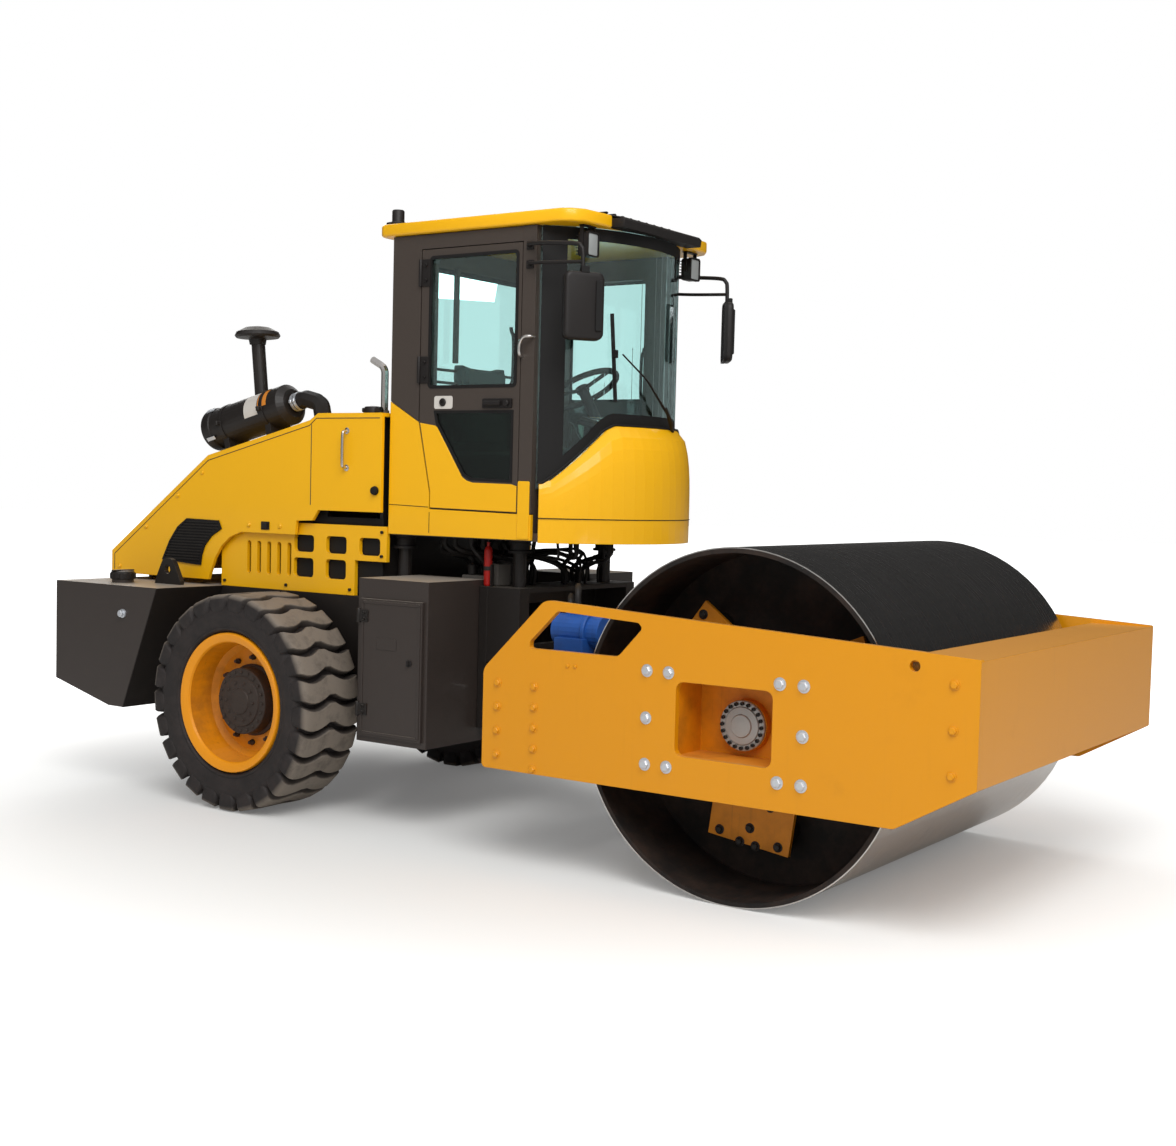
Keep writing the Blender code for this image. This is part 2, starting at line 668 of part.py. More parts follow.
def build_rear_box():
    """The counterweight box across the tail, with its lifting eyes, filler and hood hinges."""
    outline = [(-BOX_REAR, BOX_CHAMFER_TOP), (0.46 - BOX_REAR, BOX_BOTTOM),
               (BOX_FRONT_BOTTOM, BOX_BOTTOM),
               (BOX_FRONT_TOP, BOX_TOP), (-BOX_REAR, BOX_TOP)]
    body_box = flat("rear_box", "XZ", outline, -BOX_HALF, BOX_HALF)
    eye = rounded([(-2.384, BOX_TOP - 0.02), (-2.167, BOX_TOP - 0.02), (-2.240, 1.268),
                   (-2.320, 1.268)], [0, 0, 0.04, 0.04])
    added = [rod("tank_filler", 0.060, BOX_TOP - 0.01, BOX_TOP + 0.055, (0.35 - BOX_REAR, -0.92, 0))]
    for name, side in SIDES:
        added.append(side_flat("lifting_eye_" + name, side, eye, (0.790, 0.815),
                               [circle(-2.280, 1.212, 0.024, 12)]))
        added.append(side_box("hinge_ear_" + name, side, (0.020 - BOX_REAR, 0.050 - BOX_REAR),
                              (HINGE_Y - 0.03, HINGE_Y + 0.03), (BOX_TOP - 0.01,
                                                                HOOD_BOTTOM - GAP)))
    dress(join(body_box, *added), CHARCOAL)


def build_axle():
    """The rear axle housing, with its differential bulge and the pads under the rails."""
    end = HALF_TRACK - 0.10 - GAP
    profile = [(0, end), (0.13, end), (0.13, end - 0.03), (0.085, end - 0.05), (0.085, 0.28),
               (0.17, 0.16), (0.20, 0.0), (0.17, -0.16), (0.085, -0.28), (0.085, 0.05 - end),
               (0.13, 0.03 - end), (0.13, -end), (0, -end)]
    axle = turned("rear_axle", profile, (REAR_AXLE_X, 0, TYRE_RADIUS), across(), 24)
    pads = [side_box("axle_pad_" + name, side, (REAR_AXLE_X - 0.08, REAR_AXLE_X + 0.08),
                     (RAIL_OUT - 0.055, RAIL_OUT + 0.025), (TYRE_RADIUS, RAIL_BOTTOM - GAP))
            for name, side in SIDES]
    dress(join(axle, *pads), BLACK, True)


def build_wheels():
    """The rear wheels: a tyre, and a deep rim with its hub, on each side."""
    tyre = [(RIM_RADIUS + GAP, RIM_HALF - GAP), (RIM_FLANGE + 0.006, RIM_HALF - GAP),
            (RIM_FLANGE + 0.07, RIM_HALF + 0.043), (TYRE_RADIUS - 0.060, TREAD_HALF),
            (TYRE_RADIUS - 0.012, TREAD_HALF - 0.010), (TYRE_RADIUS, TREAD_HALF - 0.040)]
    tyre += [(r, -a) for r, a in reversed(tyre)]
    rim = [(0, 0.085), (0.135, 0.085), (0.150, 0.070), (0.150, 0.010), (0.270, 0.010),
           (0.300, 0.035), (0.316, RIM_HALF), (0.352, RIM_HALF + 0.022),
           (RIM_FLANGE, RIM_HALF + 0.018), (RIM_FLANGE, RIM_HALF), (RIM_RADIUS, RIM_HALF),
           (RIM_RADIUS, -RIM_HALF), (RIM_FLANGE, -RIM_HALF),
           (RIM_FLANGE, -RIM_HALF - 0.018), (0.352, -RIM_HALF - 0.022), (0.316, -RIM_HALF),
           (0.300, -0.030), (0.270, -0.015), (0.150, -0.015), (0.150, -0.10), (0, -0.10)]
    for name, side in SIDES:
        centre = (REAR_AXLE_X, side * HALF_TRACK, TYRE_RADIUS)
        dress(turned("tyre_" + name, tyre, centre, across(side), 48, True,
                     owner="wheel_" + name), RUBBER, True)
        dress(turned("wheel_rim_" + name, rim, centre, across(side), 48,
                     owner="wheel_" + name), ORANGE, True)


# ---------------------------------------------------------------- hood and what rides on it

def slope_height(x):
    """Give the height of the hood's upper slope at a distance from the pivot."""
    rise = (HOOD_BROW[1] - HOOD_SHOULDER[1]) / (HOOD_BROW[0] - HOOD_SHOULDER[0])
    return HOOD_SHOULDER[1] + (x - HOOD_SHOULDER[0]) * rise


SLOPE = math.atan2(HOOD_BROW[1] - HOOD_SHOULDER[1], HOOD_BROW[0] - HOOD_SHOULDER[0])


def build_hood():
    """The tilting hood: a shell open below and in front, with wheel arches and hinge tabs."""
    crown = [(HOOD_FRONT, HOOD_TOP), (-1.289, HOOD_TOP), HOOD_BROW, HOOD_SHOULDER,
             (-REAR_REACH, 1.290)]
    arch = [(-2.120, HOOD_BOTTOM), (-2.105, 1.200), (-2.070, 1.280), (-2.020, 1.350),
            (-1.950, 1.405), (-1.860, 1.436)]
    outline = ([(-REAR_REACH, HOOD_BOTTOM)] + arch
               + [(-1.447, 1.436), (-1.437, 1.512), (-1.320, 1.517), (-1.278, 1.573),
                  (HOOD_FRONT, 1.573)] + crown)
    hood = flat("hood", "XZ", outline, -HOOD_HALF, HOOD_HALF, owner="hood")
    room = [(-REAR_REACH, 0.8), (HOOD_FRONT + 0.3, 0.8), (HOOD_FRONT + 0.3, HOOD_TOP)]
    hollow = flat("hood_room", "XZ", inset(room + crown[1:], HOOD_WALL),
                  HOOD_WALL - HOOD_HALF, HOOD_HALF - HOOD_WALL)
    tabs = [side_box("hinge_tab_" + name, side, (0.010 - REAR_REACH, 0.045 - BOX_REAR),
                     (HINGE_Y - 0.03, HINGE_Y + 0.03), (HOOD_BOTTOM, HOOD_BOTTOM + 0.03))
            for name, side in SIDES]
    dress(join(cut(hood, hollow), *tabs), YELLOW)


def build_air_intake():
    """The air cleaner on its saddles along the slope, with its stack, cap and hose."""
    middle = -1.975
    foot = Vector((middle, CLEANER_Y, slope_height(middle)))
    normal = Vector((-math.sin(SLOPE), 0, math.cos(SLOPE)))
    ahead = Vector((math.cos(SLOPE), 0, math.sin(SLOPE)))
    centre = foot + normal * CLEANER_HEIGHT
    half = CLEANER_LENGTH / 2
    r = CLEANER_RADIUS
    body_profile = [(0, half), (0.7 * r, half), (r, half - 0.03), (r, 0.02 - half),
                    (0.9 * r, -half), (0, -half)]
    cleaner = turned("air_cleaner", body_profile, centre,
                     (0, math.pi / 2 - SLOPE, 0), 32, owner="hood")
    added = []
    for name, along in (("rear", -0.17), ("front", 0.17)):
        saddle = box("saddle_" + name, (-0.02, -0.08, GAP), (0.02, 0.08, CLEANER_HEIGHT))
        saddle.data.transform(Matrix.Translation((0, 0, (GAP + CLEANER_HEIGHT) / 2)))
        saddle.location = foot + ahead * along
        saddle.rotation_euler = (0, -SLOPE, 0)
        added.append(saddle)
    root = centre + ahead * 0.07
    tip = Vector((-2.005, CLEANER_Y, 2.540))
    lean = math.atan2(tip.x - root.x, tip.z - root.z)
    height = (tip - root).length
    added.append(rod("stack", STACK_RADIUS, 0, height, root, (0, lean, 0)))
    cap = [(0, 0.055), (0.07, 0.045), (0.118, 0.020), (0.128, 0.0), (0.120, -0.012),
           (0.050, -0.020), (0.045, -0.050), (0, -0.050)]
    added.append(turned("stack_cap", cap, tip, (0, lean / 3, 0)))
    dress(join(cleaner, *added), BLACK, True)
    end = centre + ahead * (half + GAP)
    into = Vector((-1.470, CLEANER_Y, slope_height(-1.470)))
    lift = into + normal * 0.14
    points = ([end] + bend(end, end + ahead * 0.10, lift, 0.06)
              + bend(end + ahead * 0.10, lift, into, 0.045) + [into + normal * GAP])
    dress(tube("intake_hose", points, 0.048, "hood"), BLACK, True)


def build_exhaust():
    """The thin tail pipe on the hood, bent backwards at its top."""
    x, y = -1.100, -0.350
    low, top = (x, y, HOOD_TOP + GAP), (x, y, 2.345)
    mouth = (x - 0.090, y, 2.390)
    points = [low] + bend(low, top, mouth, 0.05) + [mouth]
    dress(tube("exhaust_pipe", points, 0.020, "hood"), CHROME, True)


def build_lower_panels():
    """The slotted panels below the hood, each standing on a rail."""
    base = RAIL_TOP + GAP
    outline = [(-2.050, base), (-1.040, base), (-1.040, 1.316), (-0.820, 1.316),
               (-0.820, 1.500), (-2.050, 1.500)]
    holes = [rounded(rectangle((-1.847 + 0.0775 * k, 1.210), (-1.817 + 0.0775 * k, 1.390)),
                     0.012, 2) for k in range(5)]
    for x, low, high in ((-1.485, 1.345, 1.437), (-1.248, 1.345, 1.437),
                         (-1.011, 1.345, 1.437), (-1.487, 1.210, 1.313),
                         (-1.250, 1.210, 1.313)):
        holes.append(rounded(rectangle((x, low), (x + 0.147, high)), 0.018, 2))
    for name, side in SIDES:
        dress(side_flat("lower_panel_" + name, side, outline,
                        (RAIL_OUT - RAIL, RAIL_OUT - 0.005), holes), YELLOW)


# ---------------------------------------------------------------- tool boxes

def build_toolboxes():
    """A steel cabinet on each side of the frame's nose, with a hinged door."""
    inner = NOSE_HALF + GAP
    low, high = TOOLBOX_Z
    rear, front = TOOLBOX_X
    for name, side in SIDES:
        cabinet = side_box("toolbox_" + name, side, TOOLBOX_X, (inner, TOOLBOX_OUT), TOOLBOX_Z)
        room = side_box("toolbox_room_" + name, side, (rear + SHEET, front - SHEET),
                        (inner + SHEET, TOOLBOX_OUT - SHEET), (low + SHEET, high - SHEET))
        mouth = side_box("toolbox_mouth_" + name, side, (rear + 0.05, front - 0.05),
                         (TOOLBOX_OUT - 2 * SHEET, TOOLBOX_OUT + SHEET),
                         (low + 0.06, high - 0.13))
        dress(cut(cabinet, room, mouth), CHARCOAL)
        dress(side_box("toolbox_door_" + name, side, (rear + 0.025, front - 0.025),
                       (TOOLBOX_OUT + GAP, TOOLBOX_OUT + SHEET), (low + 0.03, high - 0.10),
                       "toolbox_door_" + name), CHARCOAL)


# ---------------------------------------------------------------- cab

GLASS_RISE = GLASS_APEX - CAB_POST_X
GLASS_RADIUS = (CAB_IN ** 2 + GLASS_RISE ** 2) / (2 * GLASS_RISE)
GLASS_CENTRE = GLASS_APEX - GLASS_RADIUS
GLASS_ANGLE = math.asin(CAB_IN / GLASS_RADIUS)


def on_arc(u, radius, height, trim=0.0):
    """Place a point on the cab's rounded front. u runs from the right post to the left."""
    angle = (2 * u - 1) * (GLASS_ANGLE - trim)
    return (GLASS_CENTRE + radius * math.cos(angle), radius * math.sin(angle), height)


def cowl_edge(u):
    """Give the height where cowl meets glass: high in the middle, low beside the posts."""
    y = abs(GLASS_RADIUS * math.sin((2 * u - 1) * GLASS_ANGLE))
    if y < 0.29:
        return 2.037
    if y < 0.34:
        return 2.037 - 0.027 * (y - 0.29) / 0.05
    return max(1.745, 2.010 - 0.265 * (y - 0.34) / 0.235)


def cowl_bulge(u, v):
    """Give how far the cowl stands out from the glass: most at two fifths of its height."""
    middle = math.cos((2 * u - 1) * math.pi / 2)
    full = 0.040 + 0.075 * middle
    if v < 0.1:
        return full
    return 0.0225 + (full - 0.0225) * math.sqrt(max(0.0, 1 - ((v - 0.1) / 0.9) ** 4))


def build_cab_frame():
    """Floor, rear wall, side frames with their door openings, and the dark post skins."""
    top = ROOF[0] - GAP
    inner = CAB_IN - 0.045
    arc = [on_arc(k / 16, GLASS_RADIUS + 0.040 - COWL_WALL - GAP, 0, 0.03)[:2]
           for k in range(17)]
    half = CAB_IN - 0.002
    floor_outline = ([(CAB_REAR + 0.001, -half), (CAB_POST_X - 0.002, -half)] + arc
                     + [(CAB_POST_X - 0.002, half), (CAB_REAR + 0.001, half)])
    floor = flat("cab_frame", "XY", floor_outline, *FLOOR)
    wall = rectangle((-half + 0.001, FLOOR[1] - 0.02), (half - 0.001, top - 0.001))
    rear = flat("rear_wall", "YZ", wall, CAB_REAR, CAB_REAR + 0.04,
                [rectangle((-0.47, 2.16), (0.47, 2.86))])
    welded = [rear]
    side = rectangle((CAB_REAR + 0.01, FLOOR[1] - 0.01), (CAB_POST_X, top))
    opening = rounded(rectangle((-0.560, 1.640), (-0.035, 2.870)), 0.03, 2)
    post = [(CAB_REAR + 0.002, 2.148), (-0.625, 2.043), (-0.625, top - 0.002),
            (CAB_REAR + 0.002, top - 0.002)]
    for name, s in SIDES:
        welded.append(side_flat("side_frame_" + name, s, side, (inner, CAB_IN - GAP), [opening]))
        welded.append(side_flat("post_skin_" + name, s, post,
                                (CAB_IN - 0.01, CAB_IN + CAB_SKIN)))
        welded.append(side_box("front_skin_" + name, s, (DOOR_FRONT + RUN, CAB_POST_X - 0.001),
                               (CAB_IN - 0.01, CAB_IN + CAB_SKIN), (SILL + RUN, top - 0.002)))
        welded.append(side_box("head_skin_" + name, s, (-0.64, DOOR_FRONT + 0.02),
                               (CAB_IN - 0.011, CAB_IN + CAB_SKIN - 0.001),
                               (DOOR_TOP + RUN, top - 0.003)))
    dress(join(floor, *welded), CHARCOAL)
    pane = rectangle((-0.47 + 2 * GAP, 2.16 + 2 * GAP), (0.47 - 2 * GAP, 2.86 - 2 * GAP))
    dress(flat("rear_window", "YZ", pane, CAB_REAR + 0.015, CAB_REAR + 0.020), WINDOW_GLASS)


def build_cab_front():
    """The wrapped windscreen and the bulging cowl below it."""
    def screen(radius):
        return lambda u, v: on_arc(
            u, radius, cowl_edge(u) - 0.03 + v * (ROOF[0] - GAP - cowl_edge(u) + 0.03), 0.012)

    def cowl(inset_by):
        return lambda u, v: on_arc(
            u, GLASS_RADIUS + cowl_bulge(u, v) - inset_by,
            FLOOR[0] - 0.005 + v * (cowl_edge(u) - FLOOR[0] + 0.005), 0.03)

    dress(loft("windscreen", screen(GLASS_RADIUS), screen(GLASS_RADIUS - GLASS), 24, 1),
          WINDOW_GLASS, True)
    dress(loft("front_cowl", cowl(0.0), cowl(COWL_WALL), 24, 10), YELLOW, True)


def build_side_panels():
    """The yellow panel behind and below each door."""
    outline = [(CAB_REAR, FLOOR[0] + 0.005), (CAB_POST_X, FLOOR[0] + 0.005),
               (CAB_POST_X, SILL), (-0.545, SILL + 0.010), (-0.545, 1.680), (-0.625, 2.040),
               (CAB_REAR, 2.145)]
    for name, side in SIDES:
        dress(side_flat("side_panel_" + name, side, outline, (CAB_IN, CAB_IN + CAB_SKIN)),
              YELLOW)


def build_doors():
    """Each door: frame with two windows, and one pane let into it from inside."""
    outline = [(DOOR_REAR, 2.038), (-0.538, 1.681), (-0.538, SILL + 0.015),
               (DOOR_FRONT, SILL + 0.007), (DOOR_FRONT, DOOR_TOP), (DOOR_REAR, DOOR_TOP)]
    upper = [(-0.560, WAIST[1]), (-0.010, WAIST[1]), (-0.010, 2.865), (-0.560, 2.865)]
    lower = [(-0.515, WAIST[0]), (-0.500, 2.035), (-0.430, 1.935), (-0.325, 1.780),
             (-0.275, 1.757), (-0.025, 1.750), (-0.025, WAIST[0])]
    pocket = [(-0.560, 2.10), (-0.530, WAIST[0]), *lower[1:-1], (-0.025, 2.10),
              (-0.010, 2.12), (-0.010, 2.865), (-0.560, 2.865)]
    rail = CAB_IN + CAB_SKIN - 0.008
    for name, side in SIDES:
        owner = "cab_door_" + name
        door = side_flat("cab_door_" + name, side, outline, (CAB_IN, CAB_IN + CAB_SKIN),
                         [rounded(upper, 0.02, 2), rounded(lower, 0.01, 2)], owner)
        recess = side_flat("door_recess_" + name, side, pocket, (CAB_IN - 0.01, rail))
        dress(cut(door, recess), CHARCOAL)
        dress(side_flat("door_glass_" + name, side, inset(pocket, 2 * GAP),
                        (rail - GAP - GLASS, rail - GAP), owner=owner), WINDOW_GLASS)


def build_roof():
    """The roof sheet with its raised middle, and the base of the beacon."""
    half = ROOF_HALF
    outline = rounded([(-0.900, -half), (0.290, -half), (0.345, -0.560), (0.360, -0.350),
                       (0.425, -0.290), (0.425, 0.290), (0.360, 0.350), (0.345, 0.560),
                       (0.290, half), (-0.900, half)], 0.04, 3)
    roof = flat("cab_roof", "XY", outline, *ROOF)
    middle = box("roof_middle", (-0.74, -0.34, ROOF[1] - 0.01), (0.38, 0.34, ROOF[1] + 0.025))
    beacon = rod("beacon_base", 0.032, ROOF[1] - 0.01, ROOF[1] + 0.085, (-0.855, -0.575, 0),
                 steps=20)
    dress(join(roof, middle, beacon), YELLOW)
    for name, side in SIDES:
        dress(side_box("work_lamp_" + name, side, (0.262, 0.330), (0.430, 0.520),
                       (2.835, ROOF[0] - GAP)), CHARCOAL)


def build_mirrors():
    """A mirror on two arms at each door post, turned outwards."""
    for name, side in SIDES:
        root = side * (CAB_IN + CAB_SKIN + GAP)
        high, low = Vector((0.065, root, 2.885)), Vector((0.065, root, 2.795))
        out = side * 0.055
        knee, down = Vector((0.400, root + out, 2.865)), Vector((0.410, root + out, 2.560))
        upper = ([high, high + Vector((0, side * 0.02, 0))]
                 + bend(high, knee, down, 0.05) + [down])
        lower = [low, low + Vector((0, side * 0.02, 0)), Vector((0.409, root + out, 2.781))]
        arm = tube("mirror_" + name, upper, 0.010)
        head = box("mirror_head_" + name, (-0.022, -0.095, -0.155), (0.022, 0.095, 0.155))
        head.location = (0.418, root + out, 2.575)
        head.rotation_euler = (0, 0, side * math.radians(35))
        bevel = head.modifiers.new("round", "BEVEL")
        bevel.width = 0.015
        dress(join(arm, tube("mirror_arm_" + name, lower, 0.008), head), BLACK, True)


def build_interior():
    """Seat, steering console and wheel."""
    floor = FLOOR[1] + GAP
    dress(box("seat_base", (-0.60, -0.17, floor), (-0.28, 0.17, 1.78)), BLACK)
    cushion = box("seat_cushion", (-0.650, -0.24, 1.78 + GAP), (-0.170, 0.24, 1.90))
    bevel = cushion.modifiers.new("round", "BEVEL")
    bevel.width, bevel.segments = 0.025, 2
    dress(cushion, VINYL)
    outline = rounded([(-0.770, 1.82), (-0.650 - GAP, 1.80), (-0.650 - GAP, 2.00),
                       (-0.685, 2.385), (-0.770, 2.385)], [0.02, 0, 0, 0.04, 0.03])
    dress(flat("seat_back", "XZ", outline, -0.22, 0.22), VINYL)
    console = flat("steering_console", "XZ",
                   [(0.02, floor), (0.22, floor), (0.20, 2.02), (0.06, 2.06)], -0.13, 0.13)
    hub = Vector((-0.045, 0, 2.235))
    foot = Vector((0.12, 0, 1.95))
    lean = math.atan2(hub.x - foot.x, hub.z - foot.z)
    column = rod("steering_column", 0.028, 0, (hub - foot).length - 0.012, foot, (0, lean, 0),
                 16)
    dress(join(console, column), BLACK)
    ring = [(0.190 + 0.016 * math.cos(a), 0.016 * math.sin(a))
            for a in (math.pi * (0.5 - k / 4) for k in range(8))]
    wheel = turned("steering_wheel", ring, hub, (0, lean, 0), 32, True)
    spokes = [rod("wheel_hub", 0.035, -0.012 + GAP, 0.016, hub, (0, lean, 0), 16)]
    for k in range(3):
        spoke = box(f"spoke_{k}", (0, -0.014, -0.005), (0.19, 0.014, 0.005))
        spoke.data.transform(Matrix.Translation((0.095, 0, 0)))
        spoke.data.transform(Matrix.Rotation(2 * math.pi * k / 3, 4, "Z"))
        spoke.location = hub
        spoke.rotation_euler = (0, lean, 0)
        spokes.append(spoke)
    dress(join(wheel, *spokes), BLACK, True)


build_drum()
build_side_plates()
build_frame_beams()
build_drum_brackets()
build_vibration_motor()
build_hitch()
build_steering_cylinders()
build_rear_frame()
build_engine()
build_rear_box()
build_axle()
build_wheels()
build_hood()
build_air_intake()
build_exhaust()
build_lower_panels()
build_toolboxes()
build_cab_frame()
build_cab_front()
build_side_panels()
build_doors()
build_roof()
build_mirrors()
build_interior()
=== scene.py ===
"""The looks of an articulated single drum road roller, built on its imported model.

Lengths are metres. X points forwards, Y to the machine's left and Z up. The classes hold their
sizes along X from the steering pivot, as a builder of the machine would, and Form.piece() moves
each finished form to the model's own frame. A side is -1 for the right and +1 for the left.
"""

import json
import logging
import math
from dataclasses import dataclass
from enum import Enum

import bmesh
import bpy
import numpy as np
from mathutils import Matrix, Vector


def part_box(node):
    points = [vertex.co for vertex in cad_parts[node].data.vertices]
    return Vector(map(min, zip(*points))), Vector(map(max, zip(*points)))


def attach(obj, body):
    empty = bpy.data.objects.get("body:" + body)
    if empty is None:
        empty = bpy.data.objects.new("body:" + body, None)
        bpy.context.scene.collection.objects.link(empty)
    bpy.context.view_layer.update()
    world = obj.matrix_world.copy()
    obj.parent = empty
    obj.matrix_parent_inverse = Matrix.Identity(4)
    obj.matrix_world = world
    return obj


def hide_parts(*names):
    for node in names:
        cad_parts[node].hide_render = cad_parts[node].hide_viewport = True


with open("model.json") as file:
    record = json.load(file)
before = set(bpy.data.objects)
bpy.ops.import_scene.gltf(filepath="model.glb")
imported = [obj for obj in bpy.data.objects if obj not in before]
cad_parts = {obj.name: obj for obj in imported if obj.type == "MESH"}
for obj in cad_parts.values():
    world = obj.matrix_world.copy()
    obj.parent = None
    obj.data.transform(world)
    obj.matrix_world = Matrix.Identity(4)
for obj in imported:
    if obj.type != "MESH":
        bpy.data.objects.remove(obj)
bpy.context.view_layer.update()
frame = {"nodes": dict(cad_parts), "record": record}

log = logging.getLogger("road_roller")

DRUM_AXLE_X = 1.5           # steering pivot to drum axle
PIVOT = Vector(((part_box("drum")[0].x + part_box("drum")[1].x) / 2 - DRUM_AXLE_X, 0, 0))


class Side(Enum):
    """A side of the machine, with the sign of its Y."""

    RIGHT = -1
    LEFT = 1

    @property
    def word(self) -> str:
        """The side's name, as it ends a piece's name."""
        return self.name.lower()

    @property
    def turn(self) -> tuple[float, float, float]:
        """The rotation that lays a form's Z axis along Y, outwards on this side."""
        return (-self.value * math.pi / 2, 0.0, 0.0)


# ---------------------------------------------------------------- material tools

def linear(color: str) -> tuple[float, float, float, float]:
    """Turn an sRGB hex colour into linear values with an alpha of 1.

    Args:
        color: six hex digits after a hash sign.

    Returns:
        Red, green, blue and alpha.
    """
    parts = [int(color[i:i + 2], 16) / 255 for i in (1, 3, 5)]
    return (*[p / 12.92 if p <= 0.04045 else ((p + 0.055) / 1.055) ** 2.4 for p in parts], 1.0)


def node(tree: bpy.types.NodeTree, kind: str, settings: dict | None = None,
         **links: object) -> bpy.types.Node:
    """Add a shader node with its settings and the links or values of its inputs.

    Args:
        tree: the material's node tree.
        kind: the node's type, without the word ShaderNode.
        settings: the node's own attributes.
        links: an output socket or a value for each input, by name with spaces as underscores,
            or by number after the letter i.

    Returns:
        The new node.
    """
    made = tree.nodes.new("ShaderNode" + kind)
    for key, value in (settings or {}).items():
        setattr(made, key, value)
    for key, value in links.items():
        number = key[0] == "i" and key[1:].isdigit()
        socket = made.inputs[int(key[1:])] if number else made.inputs[key.replace("_", " ")]
        if isinstance(value, bpy.types.NodeSocket):
            tree.links.new(value, socket)
        else:
            socket.default_value = value
    return made


def blank(name: str) -> tuple[bpy.types.Material, bpy.types.NodeTree, bpy.types.Node,
                              bpy.types.NodeSocket]:
    """Start a material.

    Args:
        name: the material's name.

    Returns:
        The material, its tree, its Principled shader and its object coordinates.
    """
    material = bpy.data.materials.new(name)
    material.use_nodes = True
    tree = material.node_tree
    return (material, tree, tree.nodes["Principled BSDF"],
            node(tree, "TexCoord").outputs["Object"])


def mix(tree: bpy.types.NodeTree, factor: bpy.types.NodeSocket, low: object,
        high: object) -> bpy.types.NodeSocket:
    """Blend two colours or colour sockets by a factor.

    Args:
        tree: the material's node tree.
        factor: 0 gives the low colour and 1 the high one.
        low: a socket or a linear colour.
        high: a socket or a linear colour.

    Returns:
        The blended colour's socket.
    """
    return node(tree, "Mix", {"data_type": "RGBA"}, i0=factor, i6=low, i7=high).outputs[2]


def span(tree: bpy.types.NodeTree, value: bpy.types.NodeSocket, low: float, high: float,
         to_low: float = 0.0, to_high: float = 1.0) -> bpy.types.NodeSocket:
    """Map a value's range smoothly onto another, held at its ends.

    Args:
        tree: the material's node tree.
        value: what is mapped.
        low: the value that gives to_low.
        high: the value that gives to_high.
        to_low: the result at low.
        to_high: the result at high.

    Returns:
        The result's socket.
    """
    return node(tree, "MapRange", {"interpolation_type": "SMOOTHSTEP"}, Value=value,
                From_Min=low, From_Max=high, To_Min=to_low, To_Max=to_high).outputs[0]


MADE: dict[str, bpy.types.Material] = {}


@dataclass(frozen=True)
class Finish:
    """A finish with a film of dirt in soft patches, dust on what faces up, and fine grain.

    Attributes:
        name: the material's name.
        slot: the record's material slot.
        color: its clean colour.
        dirt: the colour of the film, which dulls it.
        amount: how much the film covers, from 0 to 1.
        dust: how much pale dust lies on faces that look up.
        roughness: of the clean surface.
        metallic: 1 on bare metal.
        grain_mm: size of the fine bumps.
        bump: their strength.
        coat: strength of a clear coat.
        edge_mm: how far a sharp edge looks rounded.
    """

    name: str
    slot: str
    color: str
    dirt: str = "#6B5B4A"
    amount: float = 0.2
    dust: float = 0.0
    roughness: float = 0.4
    metallic: float = 0.0
    grain_mm: float = 3.0
    bump: float = 0.05
    coat: float = 0.0
    edge_mm: float = 0.0

    def material(self) -> bpy.types.Material:
        """Give the finish's material, made once."""
        if self.name not in MADE:
            MADE[self.name] = self.make()
        return MADE[self.name]

    def make(self) -> bpy.types.Material:
        """Build the material: dirt patches about 0.3 m wide, streaks down, dust, grain."""
        material, tree, shader, place = blank(self.name)
        patches = node(tree, "TexNoise", Vector=place, Scale=3.0, Detail=8.0, Roughness=0.65)
        cover = span(tree, patches.outputs["Fac"], 0.62 - 0.3 * self.amount, 0.80,
                     0.10, 0.15 + 0.70 * self.amount)
        color = mix(tree, cover, linear(self.color), linear(self.dirt))
        drawn = node(tree, "Mapping", Vector=place, Scale=(45.0, 45.0, 2.5))
        streaks = node(tree, "TexNoise", Vector=drawn.outputs[0], Scale=1.0, Detail=3.0)
        runs = span(tree, streaks.outputs["Fac"], 0.58, 0.80, 0.0, 0.35 * self.amount)
        color = mix(tree, runs, color, linear(self.dirt))
        if self.dust:
            up = node(tree, "SeparateXYZ",
                      Vector=node(tree, "TexCoord").outputs["Normal"]).outputs["Z"]
            lying = span(tree, up, 0.75, 0.95, 0.0, self.dust)
            color = mix(tree, lying, color, linear("#B9AEA0"))
        tree.links.new(color, shader.inputs["Base Color"])
        grain = node(tree, "TexNoise", Vector=place, Scale=1000 / self.grain_mm, Detail=2.0)
        bumps = node(tree, "Bump", Strength=self.bump, Distance=0.001,
                     Height=grain.outputs["Fac"])
        if self.edge_mm:
            soft = node(tree, "Bevel", {"samples": 4}, Radius=self.edge_mm / 1000)
            tree.links.new(soft.outputs[0], bumps.inputs["Normal"])
        tree.links.new(bumps.outputs[0], shader.inputs["Normal"])
        rough = span(tree, cover, 0.0, 1.0, self.roughness, min(1.0, self.roughness + 0.4))
        tree.links.new(rough, shader.inputs["Roughness"])
        shader.inputs["Metallic"].default_value = self.metallic
        shader.inputs["Coat Weight"].default_value = self.coat
        shader.inputs["Specular IOR Level"].default_value = 0.35
        return material


